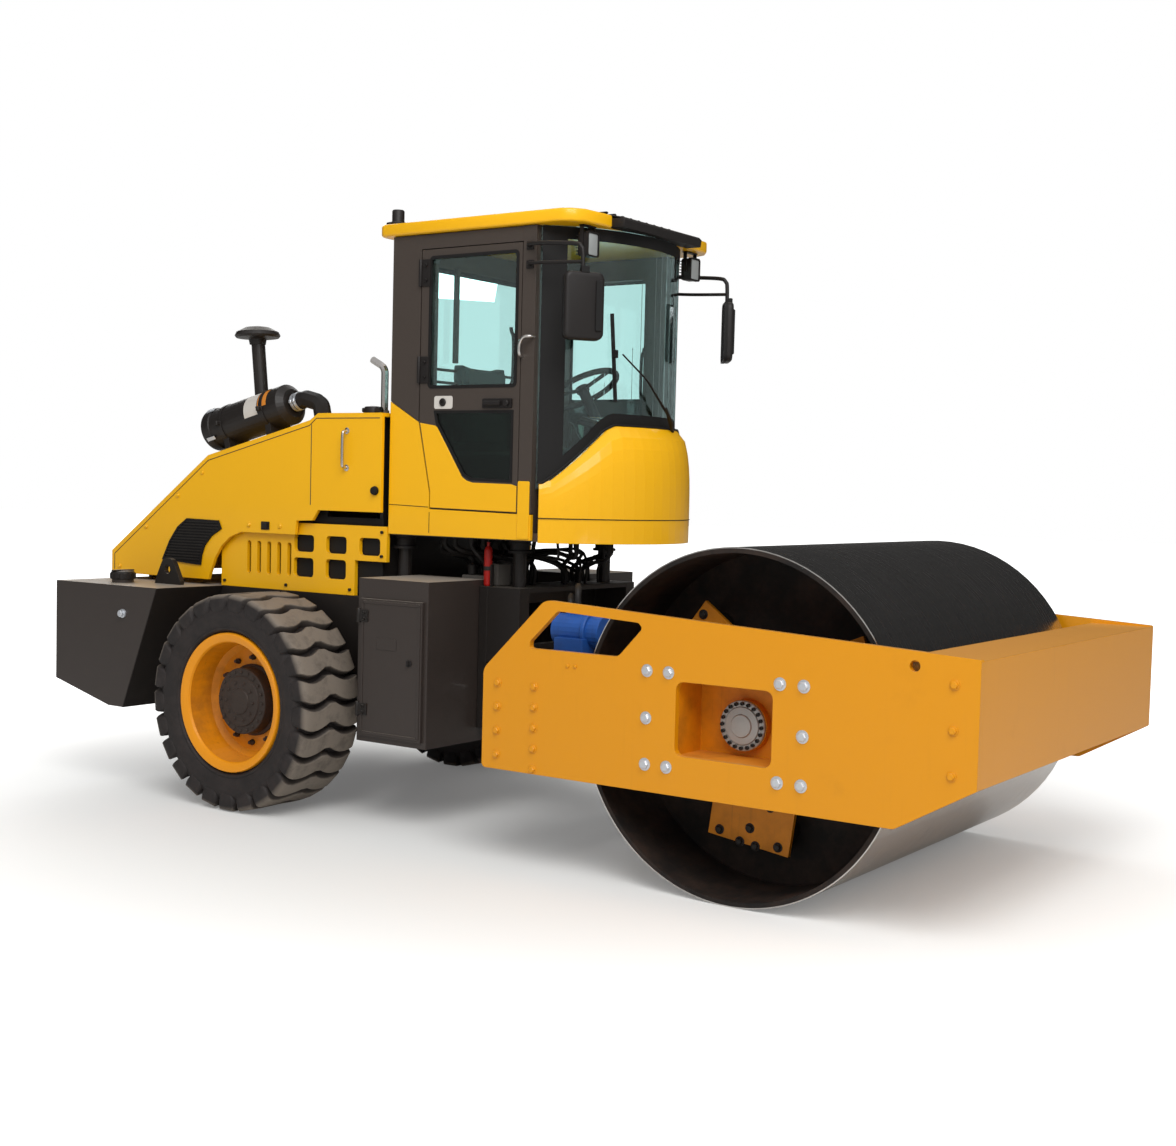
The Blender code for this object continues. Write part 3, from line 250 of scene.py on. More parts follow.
@dataclass(frozen=True)
class RolledSteel(Finish):
    """The drum: ground bright outside by the soil it rolls, brown scale in its open ends."""

    radius: float = 0.750

    def make(self) -> bpy.types.Material:
        """Bright steel with fine rings round the drum where the radius is full, scale inside."""
        material, tree, shader, place = blank(self.name)
        low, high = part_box("drum")
        axis = node(tree, "VectorMath", {"operation": "SUBTRACT"}, i0=place,
                    i1=((low.x + high.x) / 2, 0, (low.z + high.z) / 2))
        round_axis = node(tree, "VectorMath", {"operation": "MULTIPLY"}, i0=axis.outputs[0],
                          i1=(1, 0, 1))
        radius = node(tree, "VectorMath", {"operation": "LENGTH"}, i0=round_axis.outputs[0])
        outer = span(tree, radius.outputs["Value"], self.radius - 0.006, self.radius - 0.003)
        rings_place = node(tree, "Mapping", Vector=place, Scale=(3.0, 220.0, 3.0))
        rings = node(tree, "TexNoise", Vector=rings_place.outputs[0], Scale=1.0, Detail=4.0,
                     Roughness=0.7)
        blotch = node(tree, "TexNoise", Vector=place, Scale=5.0, Detail=9.0, Roughness=0.7)
        bright = mix(tree, span(tree, rings.outputs["Fac"], 0.35, 0.7), linear("#DAD7D4"),
                     linear("#C4C0BC"))
        bright = mix(tree, span(tree, blotch.outputs["Fac"], 0.62, 0.75, 0.0, 0.12), bright,
                     linear("#7A6A5C"))
        scale = mix(tree, span(tree, blotch.outputs["Fac"], 0.35, 0.7), linear("#120E0C"),
                    linear("#35271F"))
        tree.links.new(mix(tree, outer, scale, bright), shader.inputs["Base Color"])
        tree.links.new(span(tree, outer, 0, 1, 0.25, 1.0), shader.inputs["Metallic"])
        dull = span(tree, rings.outputs["Fac"], 0.3, 0.7, 0.20, 0.28)
        rough = node(tree, "Mix", i0=outer, i2=0.75, i3=dull)
        tree.links.new(rough.outputs[0], shader.inputs["Roughness"])
        bumps = node(tree, "Bump", Strength=0.04, Distance=0.001, Height=rings.outputs["Fac"])
        tree.links.new(bumps.outputs[0], shader.inputs["Normal"])
        return material


@dataclass(frozen=True)
class TyreRubber(Finish):
    """Tyre rubber: near black and chalky, worn to a tan grey on the faces of the lugs."""

    def make(self) -> bpy.types.Material:
        """Dark rubber, with pale wear where the attribute named worn is 1."""
        material, tree, shader, place = blank(self.name)
        blotch = node(tree, "TexNoise", Vector=place, Scale=9.0, Detail=9.0, Roughness=0.75)
        base = mix(tree, span(tree, blotch.outputs["Fac"], 0.3, 0.7), linear("#171211"),
                   linear("#2A2220"))
        worn = node(tree, "Attribute", {"attribute_name": "worn"}).outputs["Fac"]
        face = node(tree, "Math", {"operation": "MULTIPLY"}, i0=worn,
                    i1=span(tree, blotch.outputs["Fac"], 0.30, 0.55, 0.55, 0.95))
        color = mix(tree, face.outputs[0], base, linear("#83786C"))
        tree.links.new(color, shader.inputs["Base Color"])
        shader.inputs["Roughness"].default_value = 0.72
        grain = node(tree, "TexNoise", Vector=place, Scale=400.0, Detail=3.0)
        bumps = node(tree, "Bump", Strength=0.35, Distance=0.001, Height=grain.outputs["Fac"])
        tree.links.new(bumps.outputs[0], shader.inputs["Normal"])
        return material


@dataclass(frozen=True)
class Glass(Finish):
    """Tinted safety glass, clear to look through, with sharp reflections."""

    def make(self) -> bpy.types.Material:
        """Sharp glass that tints what is seen through it."""
        material, _, shader, _ = blank(self.name)
        shader.inputs["Base Color"].default_value = linear(self.color)
        shader.inputs["Roughness"].default_value = 0.0
        shader.inputs["Transmission Weight"].default_value = 1.0
        return material


YELLOW = Finish("yellow_enamel", "yellow_enamel", "#FBBB06", "#C08420", 0.08, 0.10, 0.30,
                coat=0.15, edge_mm=5.0)
PLATE_YELLOW = Finish("frame_yellow_enamel", "yellow_enamel", "#E09400", "#9A6212", 0.14, 0.15,
                      0.38, coat=0.1, edge_mm=4.0)
ORANGE = Finish("orange_enamel", "orange_enamel", "#E58E08", "#5A2E10", 0.75, 0.05, 0.42,
                edge_mm=3.0)
RING_ORANGE = Finish("flange_orange_enamel", "orange_enamel", "#F09A10", "#A8640E", 0.15, 0.0,
                     0.36, edge_mm=3.0)
BLACK = Finish("black_enamel", "black_enamel", "#1A1716", "#40362E", 0.25, 0.15, 0.45,
               edge_mm=3.0)
CHARCOAL = Finish("charcoal_enamel", "charcoal_enamel", "#332C29", "#4E4238", 0.20, 0.75, 0.42,
                  coat=0.1, edge_mm=4.0)
CAB_BROWN = Finish("cab_frame_enamel", "charcoal_enamel", "#423A35", "#50463C", 0.15, 0.1, 0.35,
                   coat=0.1, edge_mm=4.0)
TRIM = Finish("moulded_black_plastic", "black_enamel", "#171414", "#38302A", 0.15, 0.1, 0.5,
              grain_mm=2.0, bump=0.12)
SEAL = Finish("rubber_seal", "black_enamel", "#0C0B0B", "#1E1A18", 0.15, 0.0, 0.7)
TYRE = TyreRubber("tyre_rubber", "tyre_rubber", "#241D1B")
STEEL = RolledSteel("rolled_steel", "rolled_steel", "#DAD7D4")
CHROME = Finish("bright_steel", "bright_steel", "#CFCBC8", "#8A8078", 0.15, 0.0, 0.25, 1.0)
ZINC = Finish("zinc_plated_steel", "bright_steel", "#D4D8DE", "#9A9690", 0.2, 0.0, 0.38, 0.7)
HUB_PAINT = Finish("hub_brown_enamel", "rolled_steel", "#3A302A", "#2A211C", 0.6, 0.0, 0.55,
                   grain_mm=2.0, bump=0.2)
CAST_IRON = Finish("grey_cast_iron", "rolled_steel", "#6A6661", "#4A4038", 0.4, 0.0, 0.55, 0.2,
                   grain_mm=2.0, bump=0.3)
MACHINED = Finish("machined_steel", "rolled_steel", "#A7A5A2", "#6E665E", 0.35, 0.0, 0.4, 0.6)
BRASS = Finish("yellow_brass", "bright_steel", "#C79A3E", "#6E5526", 0.3, 0.0, 0.3, 1.0)
BLUE = Finish("blue_enamel", "blue_enamel", "#2458A8", "#1E2430", 0.6, 0.0, 0.4, edge_mm=3.0)
RED = Finish("red_enamel", "orange_enamel", "#A8160F", "#4A1C14", 0.2, 0.0, 0.4)
HOSE = Finish("hydraulic_hose_rubber", "black_enamel", "#131111", "#3A322C", 0.3, 0.0, 0.6)
LABEL = Finish("blank_silver_label", "bright_steel", "#D2CDC6", "#A09688", 0.3, 0.0, 0.45)
LABEL_ORANGE = Finish("blank_orange_label", "yellow_enamel", "#D98424", "#A06430", 0.2, 0.0, 0.5)
LAMP_FACE = Finish("frosted_lamp_lens", "bright_steel", "#A8ACAB", "#8A8C8A", 0.15, 0.0, 0.25,
                   coat=0.5)
MIRROR = Finish("mirror_glass", "bright_steel", "#D4D8DA", "#9EA2A4", 0.05, 0.0, 0.04, 1.0)
VINYL = Finish("seat_vinyl", "seat_vinyl", "#4A5654", "#3E4442", 0.2, 0.05, 0.6,
               grain_mm=2.0, bump=0.25)
CLEAR = Glass("window_glass", "window_glass", "#D9F4F2")
# The lower door windows' dark tint is painted shade: it stands for the cab's shaded interior seen
# through them.
SHADE_GLASS = Glass("lower_door_shade_glass", "window_glass", "#56685F")


# ---------------------------------------------------------------- form tools

@dataclass
class Form:
    """Points and faces of one or more closed surfaces.

    Attributes:
        points: an array of n rows of X, Y and Z.
        faces: each face's point numbers.
        marks: a value for each point, kept as the attribute named worn, or None.
    """

    points: np.ndarray
    faces: list[tuple[int, ...]]
    marks: np.ndarray | None = None

    def __add__(self, other: "Form") -> "Form":
        """Put two forms in one, untouched."""
        start = len(self.points)
        later = [tuple(i + start for i in face) for face in other.faces]
        marks = None
        if self.marks is not None or other.marks is not None:
            marks = np.concatenate([np.zeros(len(f.points)) if f.marks is None else f.marks
                                    for f in (self, other)])
        return Form(np.vstack((self.points, other.points)), self.faces + later, marks)

    def moved(self, place: tuple[float, float, float] = (0, 0, 0),
              turn: tuple[float, float, float] = (0, 0, 0)) -> "Form":
        """Turn a form about the origin, then move it.

        Args:
            place: the move.
            turn: Euler angles about X, Y and Z.

        Returns:
            The form in its new place.
        """
        matrix = np.array(Matrix.Rotation(turn[2], 3, "Z") @ Matrix.Rotation(turn[1], 3, "Y")
                          @ Matrix.Rotation(turn[0], 3, "X"))
        return Form(self.points @ matrix.T + np.array(place), self.faces, self.marks)

    def repeated(self, places: np.ndarray) -> "Form":
        """Copy a form to each of many places, as whole arrays.

        Args:
            places: k rows of X, Y and Z.

        Returns:
            One form with k copies.
        """
        places = np.asarray(places, float).reshape(-1, 3)
        points = (places[:, None] + self.points[None]).reshape(-1, 3)
        count = len(self.points)
        faces = [tuple(i + k * count for i in face) for k in range(len(places))
                 for face in self.faces]
        marks = None if self.marks is None else np.tile(self.marks, len(places))
        return Form(points, faces, marks)

    def round_axis(self, centre: tuple[float, float, float], count: int,
                   start: float = 0.0) -> "Form":
        """Copy a form round an axis along Y, as whole arrays.

        A copy at angle a has x cos a + z sin a and z cos a - x sin a.

        Args:
            centre: a point of the axis.
            count: how many copies.
            start: the first one's angle.

        Returns:
            One form with the copies.
        """
        a = start + 2 * math.pi * np.arange(count)[:, None] / count
        x, y, z = self.points.T
        points = np.stack((x * np.cos(a) + z * np.sin(a), y + 0 * a,
                           z * np.cos(a) - x * np.sin(a)), -1) + np.array(centre)
        size = len(self.points)
        faces = [tuple(i + k * size for i in face) for k in range(count)
                 for face in self.faces]
        marks = None if self.marks is None else np.tile(self.marks, count)
        return Form(points.reshape(-1, 3), faces, marks)

    def piece(self, name: str, finish: Finish, body: str, sharp: float = 35.0) -> bpy.types.Object:
        """Make the form a piece of the model, in the model's own frame.

        Args:
            name: the piece's name.
            finish: what it is made of.
            body: the body it moves with.
            sharp: edges over this many degrees look sharp.

        Returns:
            The piece.
        """
        mesh = bpy.data.meshes.new(name)
        mesh.from_pydata((self.points + np.array(PIVOT)).tolist(), [], self.faces)
        if self.marks is not None:
            mesh.attributes.new("worn", "FLOAT", "POINT").data.foreach_set("value", self.marks)
        tidy = bmesh.new()
        tidy.from_mesh(mesh)
        bmesh.ops.remove_doubles(tidy, verts=tidy.verts, dist=1e-5)
        bmesh.ops.recalc_face_normals(tidy, faces=tidy.faces)
        tidy.to_mesh(mesh)
        tidy.free()
        mesh.shade_smooth()
        mesh.set_sharp_from_angle(angle=math.radians(sharp))
        mesh.materials.append(finish.material())
        made = bpy.data.objects.new(name, mesh)
        bpy.context.scene.collection.objects.link(made)
        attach(made, body)
        log.info("made %s: %d points", name, len(mesh.vertices))
        return made


def surface(rows: np.ndarray, closed: bool = True, capped: bool = True) -> Form:
    """Turn a grid of points into faces: each row is a ring, and rows are joined by quads.

    Args:
        rows: an array of n rows of m points.
        closed: whether each row closes on itself.
        capped: whether the first and last rows are filled.

    Returns:
        The form.
    """
    n, m = rows.shape[:2]
    index = np.arange(n * m).reshape(n, m)
    right = np.roll(index, -1, axis=1) if closed else index[:, 1:]
    left = index if closed else index[:, :-1]
    quads = np.stack((left[:-1], right[:-1], right[1:], left[1:]), -1).reshape(-1, 4)
    faces = [tuple(q) for q in quads.tolist()]
    if capped:
        faces += [tuple(index[0, ::-1].tolist()), tuple(index[-1].tolist())]
    return Form(rows.reshape(-1, 3), faces)


def turned(profile: list[tuple[float, float]], steps: int = 32) -> Form:
    """Turn a profile of (radius, height) about the Z axis.

    The point at angle a is (radius cos a, radius sin a, height).

    Args:
        profile: from one end's rim to the other's.
        steps: points round the axis.

    Returns:
        The form, its ends filled.
    """
    radius, height = np.array(profile, float).T
    a = np.linspace(0, 2 * math.pi, steps, endpoint=False)
    rows = np.stack((radius[:, None] * np.cos(a), radius[:, None] * np.sin(a),
                     np.broadcast_to(height[:, None], (len(radius), steps))), -1)
    return surface(rows)


def ring(profile: list[tuple[float, float]], steps: int = 48) -> Form:
    """Turn a closed profile of (radius, height) about the Z axis into a ring.

    Args:
        profile: the section's corners, in order.
        steps: points round the axis.

    Returns:
        The form.
    """
    radius, height = np.array(profile + profile[:1], float).T
    a = np.linspace(0, 2 * math.pi, steps, endpoint=False)
    rows = np.stack((radius[:, None] * np.cos(a), radius[:, None] * np.sin(a),
                     np.broadcast_to(height[:, None], (len(radius), steps))), -1)
    return surface(rows, capped=False)


def through(points: list[tuple[float, float, float]], count: int = 24) -> np.ndarray:
    """Give a smooth path through points: a Catmull-Rom curve, sampled evenly in its parameter.

    Args:
        points: what it passes through.
        count: how many samples.

    Returns:
        The samples, as rows.
    """
    p = np.array(points, float)
    p = np.vstack((2 * p[0] - p[1], p, 2 * p[-1] - p[-2]))
    t = np.linspace(0, len(points) - 1, count)
    k = np.minimum(t.astype(int), len(points) - 2)
    u = (t - k)[:, None]
    a, b, c, d = p[k], p[k + 1], p[k + 2], p[k + 3]
    return 0.5 * (2 * b + (c - a) * u + (2 * a - 5 * b + 4 * c - d) * u ** 2
                  + (3 * b - a - 3 * c + d) * u ** 3)


def swept(path: np.ndarray, radius: float | np.ndarray, sides: int = 10,
          flat: float = 1.0, loop: bool = False) -> Form:
    """Carry a round section along a path, turned as little as possible from point to point.

    Args:
        path: the rows of the path.
        radius: the section's radius, or one for each row.
        sides: points round the section.
        flat: the section's second axis as a share of its first.
        loop: whether the path closes on itself, in one plane.

    Returns:
        The form, its ends filled unless it is a loop.
    """
    path = np.asarray(path, float)
    along = (np.roll(path, -1, axis=0) - np.roll(path, 1, axis=0) if loop
             else np.gradient(path, axis=0))
    along /= np.linalg.norm(along, axis=1)[:, None]
    side = np.cross(along[0], (0.0, 0.3, 1.0))
    frames = []
    for direction in along:
        side = side - direction * side.dot(direction)
        side /= np.linalg.norm(side)
        frames.append(side)
    first = np.array(frames)
    second = np.cross(along, first) * flat
    a = np.linspace(0, 2 * math.pi, sides, endpoint=False)
    reach = np.broadcast_to(np.asarray(radius, float), (len(path),))[:, None, None]
    rows = path[:, None] + reach * (np.cos(a)[:, None] * first[:, None]
                                    + np.sin(a)[:, None] * second[:, None])
    return surface(np.concatenate((rows, rows[:1])), capped=False) if loop else surface(rows)


def inset(outline: np.ndarray, distance: float) -> np.ndarray:
    """Move an anticlockwise outline's sides inwards by a distance.

    Args:
        outline: its corners, as rows of two numbers.
        distance: the move.

    Returns:
        The moved corners.
    """
    ahead = np.roll(outline, -1, axis=0) - outline
    ahead /= np.linalg.norm(ahead, axis=1)[:, None]
    normal = np.stack((-ahead[:, 1], ahead[:, 0]), -1)
    before = np.roll(normal, 1, axis=0)
    middle = normal + before
    middle /= np.maximum(np.sum(middle * normal, axis=1), 0.2)[:, None]
    return outline + middle * distance


class Plane(Enum):
    """The plane that an outline is drawn in, as the axes of its two numbers and its depth."""

    XZ = (0, 2, 1)
    YZ = (1, 2, 0)
    XY = (0, 1, 2)


def slab(outline: list[tuple[float, float]] | np.ndarray, low: float, high: float,
         plane: Plane = Plane.XZ, edge: float = 0.002, steps: int = 1) -> Form:
    """Make a plate of an outline, with its edges rounded in steps, or chamfered with one.

    At angle t of the quarter round, the outline is edge (1 - sin t) inside its full size, and
    edge (1 - cos t) from the face.

    Args:
        outline: its corners.
        low: one face's place along the plate's depth.
        high: the other face's.
        plane: the outline's plane.
        edge: the radius of the edges.
        steps: how many stretches each edge has.

    Returns:
        The form.
    """
    shape = np.array(outline, float)
    turn = np.roll(shape, -1, axis=0)
    if np.sum(shape[:, 0] * turn[:, 1] - turn[:, 0] * shape[:, 1]) < 0:
        shape = shape[::-1]
    low, high = min(low, high), max(low, high)
    t = np.linspace(0, math.pi / 2, steps + 1)
    inward = edge * (1 - np.sin(t))
    lift = edge * (1 - np.cos(t))
    shapes = [inset(shape, d) for d in inward]
    rows = np.zeros((2 * steps + 2, len(shape), 3))
    for row, (points, depth) in enumerate(zip(shapes + shapes[::-1],
                                              (*(low + lift), *(high - lift[::-1])))):
        rows[row][:, plane.value[0]] = points[:, 0]
        rows[row][:, plane.value[1]] = points[:, 1]
        rows[row][:, plane.value[2]] = depth
    return surface(rows)


def brick(low: tuple[float, float, float], high: tuple[float, float, float],
          edge: float = 0.003) -> Form:
    """Make a block between two corners, with its edges taken off.

    Args:
        low: the lowest corner.
        high: the highest corner.
        edge: the width of the chamfers.

    Returns:
        The form.
    """
    outline = [(low[0], low[1]), (high[0], low[1]), (high[0], high[1]), (low[0], high[1])]
    return slab(outline, low[2], high[2], Plane.XY, edge)


def side_brick(side: Side, x: tuple[float, float], y: tuple[float, float],
               z: tuple[float, float], edge: float = 0.003) -> Form:
    """Make a block from ranges of X, of distance from the middle plane, and of Z.

    Args:
        side: which side of the machine.
        x: from rear to front.
        y: from inside to outside.
        z: from low to high.
        edge: the width of the chamfers.

    Returns:
        The form.
    """
    low, high = sorted((side.value * y[0], side.value * y[1]))
    return brick((x[0], low, z[0]), (x[1], high, z[1]), edge)


def arc(x: float, y: float, radius: float, start: float, end: float,
        steps: int = 6) -> list[tuple[float, float]]:
    """Give points of an arc, for use in an outline.

    Args:
        x: the centre's first number.
        y: the centre's second number.
        radius: of the arc.
        start: its first angle, in degrees.
        end: its last angle.
        steps: how many stretches.

    Returns:
        The points.
    """
    a = np.radians(np.linspace(start, end, steps + 1))
    return list(zip(x + radius * np.cos(a), y + radius * np.sin(a)))


def round_box(x: tuple[float, float], y: tuple[float, float], radius: float,
              steps: int = 5) -> list[tuple[float, float]]:
    """Give a rectangle's outline with round corners.

    Args:
        x: its first range.
        y: its second range.
        radius: of the corners.
        steps: stretches in each corner.

    Returns:
        The points, anticlockwise.
    """
    return (arc(x[1] - radius, y[0] + radius, radius, -90, 0, steps)
            + arc(x[1] - radius, y[1] - radius, radius, 0, 90, steps)
            + arc(x[0] + radius, y[1] - radius, radius, 90, 180, steps)
            + arc(x[0] + radius, y[0] + radius, radius, 180, 270, steps))


def frame_of(outline: list[tuple[float, float]], width: float, low: float, high: float,
             plane: Plane = Plane.XZ) -> Form:
    """Make a flat frame that follows an outline inwards, such as a window's seal.

    Args:
        outline: the outer corners, anticlockwise.
        width: of the frame.
        low: one face's place.
        high: the other face's.
        plane: the outline's plane.

    Returns:
        The form.
    """
    outer = np.array(outline, float)
    inner = inset(outer, width)
    rows = np.zeros((5, len(outer), 3))
    for row, (points, depth) in enumerate(((outer, low), (outer, high), (inner, high),
                                           (inner, low), (outer, low))):
        rows[row][:, plane.value[0]] = points[:, 0]
        rows[row][:, plane.value[1]] = points[:, 1]
        rows[row][:, plane.value[2]] = depth
    return surface(rows, capped=False)


def holed(outline: list[tuple[float, float]], centre: tuple[float, float], radius: float,
          low: float, high: float) -> Form:
    """Make an upright plate in the XZ plane with a round hole.

    At each of 48 angles about the hole, the plate reaches from the hole's radius to where the
    ray at that angle crosses the outline, so every part of the outline faces the hole.

    Args:
        outline: the plate's corners, anticlockwise.
        centre: the hole's middle.
        radius: the hole's radius.
        low: one face's Y.
        high: the other face's.

    Returns:
        The form.
    """
    a = np.linspace(0, 2 * math.pi, 48, endpoint=False)
    way = np.stack((np.cos(a), np.sin(a)), -1)
    start = np.array(outline) - np.array(centre)
    run = np.roll(start, -1, axis=0) - start
    cross = way[:, None, 0] * run[None, :, 1] - way[:, None, 1] * run[None, :, 0]
    cross = np.where(np.abs(cross) < 1e-12, 1e-12, cross)
    reach = (start[:, 0] * run[:, 1] - start[:, 1] * run[:, 0]) / cross
    share = (start[None, :, 0] * way[:, None, 1] - start[None, :, 1] * way[:, None, 0]) / cross
    hit = np.where((reach > 0) & (share >= -1e-9) & (share <= 1 + 1e-9), reach, np.inf)
    outer = way * hit.min(axis=1)[:, None] + np.array(centre)
    inner = way * radius + np.array(centre)
    rows = np.zeros((5, 48, 3))
    for row, (points, y) in enumerate(((outer, low), (outer, high), (inner, high), (inner, low),
                                       (outer, low))):
        rows[row] = np.stack((points[:, 0], np.full(48, y), points[:, 1]), -1)
    return surface(rows, capped=False)


def hex_bolt(radius: float, height: float, washer: float = 0.003) -> Form:
    """Make a hexagon bolt's head on its washer, standing on Z = 0.

    Args:
        radius: of the hexagon's corners.
        height: of the head.
        washer: the washer's thickness.

    Returns:
        The form.
    """
    head = turned([(radius, washer * 0.9), (radius, washer + height - 0.2 * radius),
                   (0.8 * radius, washer + height)], 6)
    disc = turned([(1.35 * radius, -0.0005), (1.35 * radius, washer * 0.8),
                   (1.25 * radius, washer)], 16)
    return head + disc


def on_side(form: Form, side: Side, places: list[tuple[float, float]], face: float) -> Form:
    """Set copies of a form that stands on Z = 0 on an upright face, pointing outwards.

    Args:
        form: what is copied.
        side: which side of the machine.
        places: X and Z of each copy.
        face: the face's distance from the middle plane.

    Returns:
        One form with the copies.
    """
    laid = form.moved(turn=side.turn)
    return laid.repeated(np.array([(x, side.value * face, z) for x, z in places]))


SOCKET_HEAD = turned([(0.0085, -0.0005), (0.0085, 0.010), (0.0075, 0.011), (0.0045, 0.011),
                      (0.0045, 0.006)], 10)


# ---------------------------------------------------------------- the CAD's own pieces

def dress_cad() -> None:
    """Give each CAD node the finish of its record's slot, or the closer one of its own."""
    plain = {f.slot: f for f in (YELLOW, ORANGE, BLACK, CHARCOAL, TYRE, STEEL, CHROME, BLUE,
                                 VINYL, CLEAR)}
    own = {"cab_frame": CAB_BROWN, "cab_door_right": CAB_BROWN,
           "cab_door_left": CAB_BROWN, "side_plate_right": PLATE_YELLOW,
           "side_plate_left": PLATE_YELLOW, "front_beam": PLATE_YELLOW,
           "intake_hose": HOSE, "steering_wheel": TRIM, "steering_console": TRIM}
    for part in frame["record"]["subparts"]:
        cad = frame["nodes"][part["node"]]
        cad.data.materials.clear()
        finish = own.get(part["node"], plain[part["material_slot"]])
        cad.data.materials.append(finish.material())
        log.info("dressed %s", part["node"])


# ---------------------------------------------------------------- drum and its frame

@dataclass
class DrumFrame:
    """The bolts, caps and hoses of the drum and of the frame round it.

    Attributes:
        axle_z: height of the drum's axle.
        plate_face: middle plane to a side plate's outer face.
        hub_face: middle plane to the end of the bearing hub.
        buffer_face: middle plane to a buffer plate's outer face.
        web: middle plane to the drum's web.
    """

    axle_z: float = 0.750
    plate_face: float = 1.145
    hub_face: float = 0.970
    buffer_face: float = 0.770
    web: float = 0.660

    def build(self) -> None:
        """Build every piece of the sub-assembly."""
        for side in Side:
            self.plate_bolts(side)
            self.bearing_cap(side)
            self.buffers(side)
        self.motor_and_hoses()

    def plate_bolts(self, side: Side) -> None:
        """Add the bolts that hold a side plate to its bracket and to the beams."""
        rows = [(x, z) for x in (1.1255, 1.2323, 1.7561, 1.863) for z in (0.9634, 0.5644)]
        rows += [(1.1255, 0.7622), (1.863, 0.7622)]
        on_side(hex_bolt(0.0205, 0.013), side, rows, self.plate_face).piece(
            "bracket_bolts_" + side.word, ZINC, "drum_frame")
        beam = [(0.330, z) for z in (0.840, 0.732, 0.623, 0.515)]
        beam += [(0.535, z) for z in (0.840, 0.7475, 0.655, 0.5625, 0.470)]
        beam += [(2.488, z) for z in (1.026, 0.853, 0.680)]
        on_side(hex_bolt(0.0155, 0.011), side, beam, self.plate_face).piece(
            "beam_bolts_" + side.word, PLATE_YELLOW, "drum_frame")
        clips = turned([(0.009, -0.0005), (0.009, 0.004), (0.006, 0.006)], 12)
        on_side(clips, side, [(0.713, 0.948), (0.753, 0.949)], self.plate_face).piece(
            "hose_clip_screws_" + side.word, PLATE_YELLOW, "drum_frame")

    def bearing_cap(self, side: Side) -> None:
        """Add the cast cap on the bearing hub, with its ring of screws and its plug."""
        cap = turned([(0.107, 0.0), (0.107, 0.010), (0.104, 0.013), (0.082, 0.013),
                      (0.078, 0.018), (0.050, 0.020), (0.046, 0.026), (0.020, 0.028)], 40)
        centre = (DRUM_AXLE_X, side.value * (self.hub_face + 0.0004), self.axle_z)
        cap.moved(turn=side.turn).moved(centre).piece(
            "bearing_cap_" + side.word, MACHINED, "drum_frame")
        screw = SOCKET_HEAD.moved((0.0935, 0, 0.0128)).moved(turn=side.turn)
        screw.round_axis(centre, 20).piece("bearing_screws_" + side.word, BLACK, "drum_frame")

    def buffers(self, side: Side) -> None:
        """Add the bolts on the arms of a buffer plate, and the rubber round each buffer."""
        bolts = None
        centre = (DRUM_AXLE_X, side.value * self.buffer_face, self.axle_z)
        for reach, lean in ((0.545, -0.27), (0.545, 0.27), (0.552, -0.07), (0.552, 0.07),
                            (0.375, -0.22), (0.375, 0.22), (0.480, 0.0)):
            angle = math.radians(-22.4) - lean
            place = (reach * math.cos(angle), 0, -reach * math.sin(angle))
            ring_of = hex_bolt(0.0165, 0.011).moved(turn=side.turn).moved(place)
            ring_of = ring_of.round_axis(centre, 3)
            bolts = ring_of if bolts is None else bolts + ring_of
        bolts.piece("buffer_bolts_" + side.word, BLACK, "drum")
        low, high = self.web + 0.0010, self.buffer_face - 0.0210
        middle = (low + high) / 2
        sleeve = ring([(0.0553, low), (0.062, low + 0.002), (0.067, middle - 0.012),
                       (0.067, middle + 0.012), (0.062, high - 0.002), (0.0553, high)], 28)
        rubbers = None
        for lean in (-0.26, 0.26):
            angle = math.radians(-22.4) - lean
            laid = sleeve.moved((0, 0, -self.buffer_face)).moved(turn=side.turn)
            laid = laid.moved((0.48 * math.cos(angle), 0, -0.48 * math.sin(angle)))
            laid = laid.round_axis(centre, 3)
            rubbers = laid if rubbers is None else rubbers + laid
        rubbers.piece("buffer_rubbers_" + side.word, HOSE, "drum")

    def motor_and_hoses(self) -> None:
        """Add the vibration motor's flange and ports, and its two hoses to the rear beam."""
        flange = turned([(0.088, -0.008), (0.092, -0.004), (0.092, 0.010), (0.088, 0.014)], 24)
        body = flange.moved(turn=(0, math.pi / 2, 0)).moved((0.600, -0.800, 1.0704))
        for x in (0.480, 0.520):
            body = body + turned([(0.024, 0.0), (0.024, 0.018), (0.018, 0.022),
                                  (0.018, 0.034)], 6).moved((x, -0.800, 1.140))
        body.piece("vibration_motor_ports", BLUE, "drum_frame")
        ends = []
        for number, (x, y) in enumerate(((0.480, -0.800), (0.520, -0.800))):
            shift = 0.045 * number
            path = through([(x, y, 1.170), (x - 0.01, y + 0.01, 1.205 + shift),
                            (x - 0.07, y + 0.10, 1.215 + shift), (0.350, -0.60 + shift, 1.12),
                            (0.345, -0.50 + shift, 0.99), (0.345, -0.48 + shift, 0.905)], 32)
            swept(path, 0.0145, 12).piece(f"motor_hose_{number + 1}", HOSE, "drum_frame")
            ends.append((0.345, -0.48 + shift, 0.8905))
        fitting = turned([(0.021, -0.0004), (0.021, 0.012), (0.017, 0.014), (0.017, 0.034),
                          (0.015, 0.036)], 12)
        fitting.repeated(np.array(ends)).piece("beam_fittings", BRASS, "drum_frame")


# ---------------------------------------------------------------- rear wheels

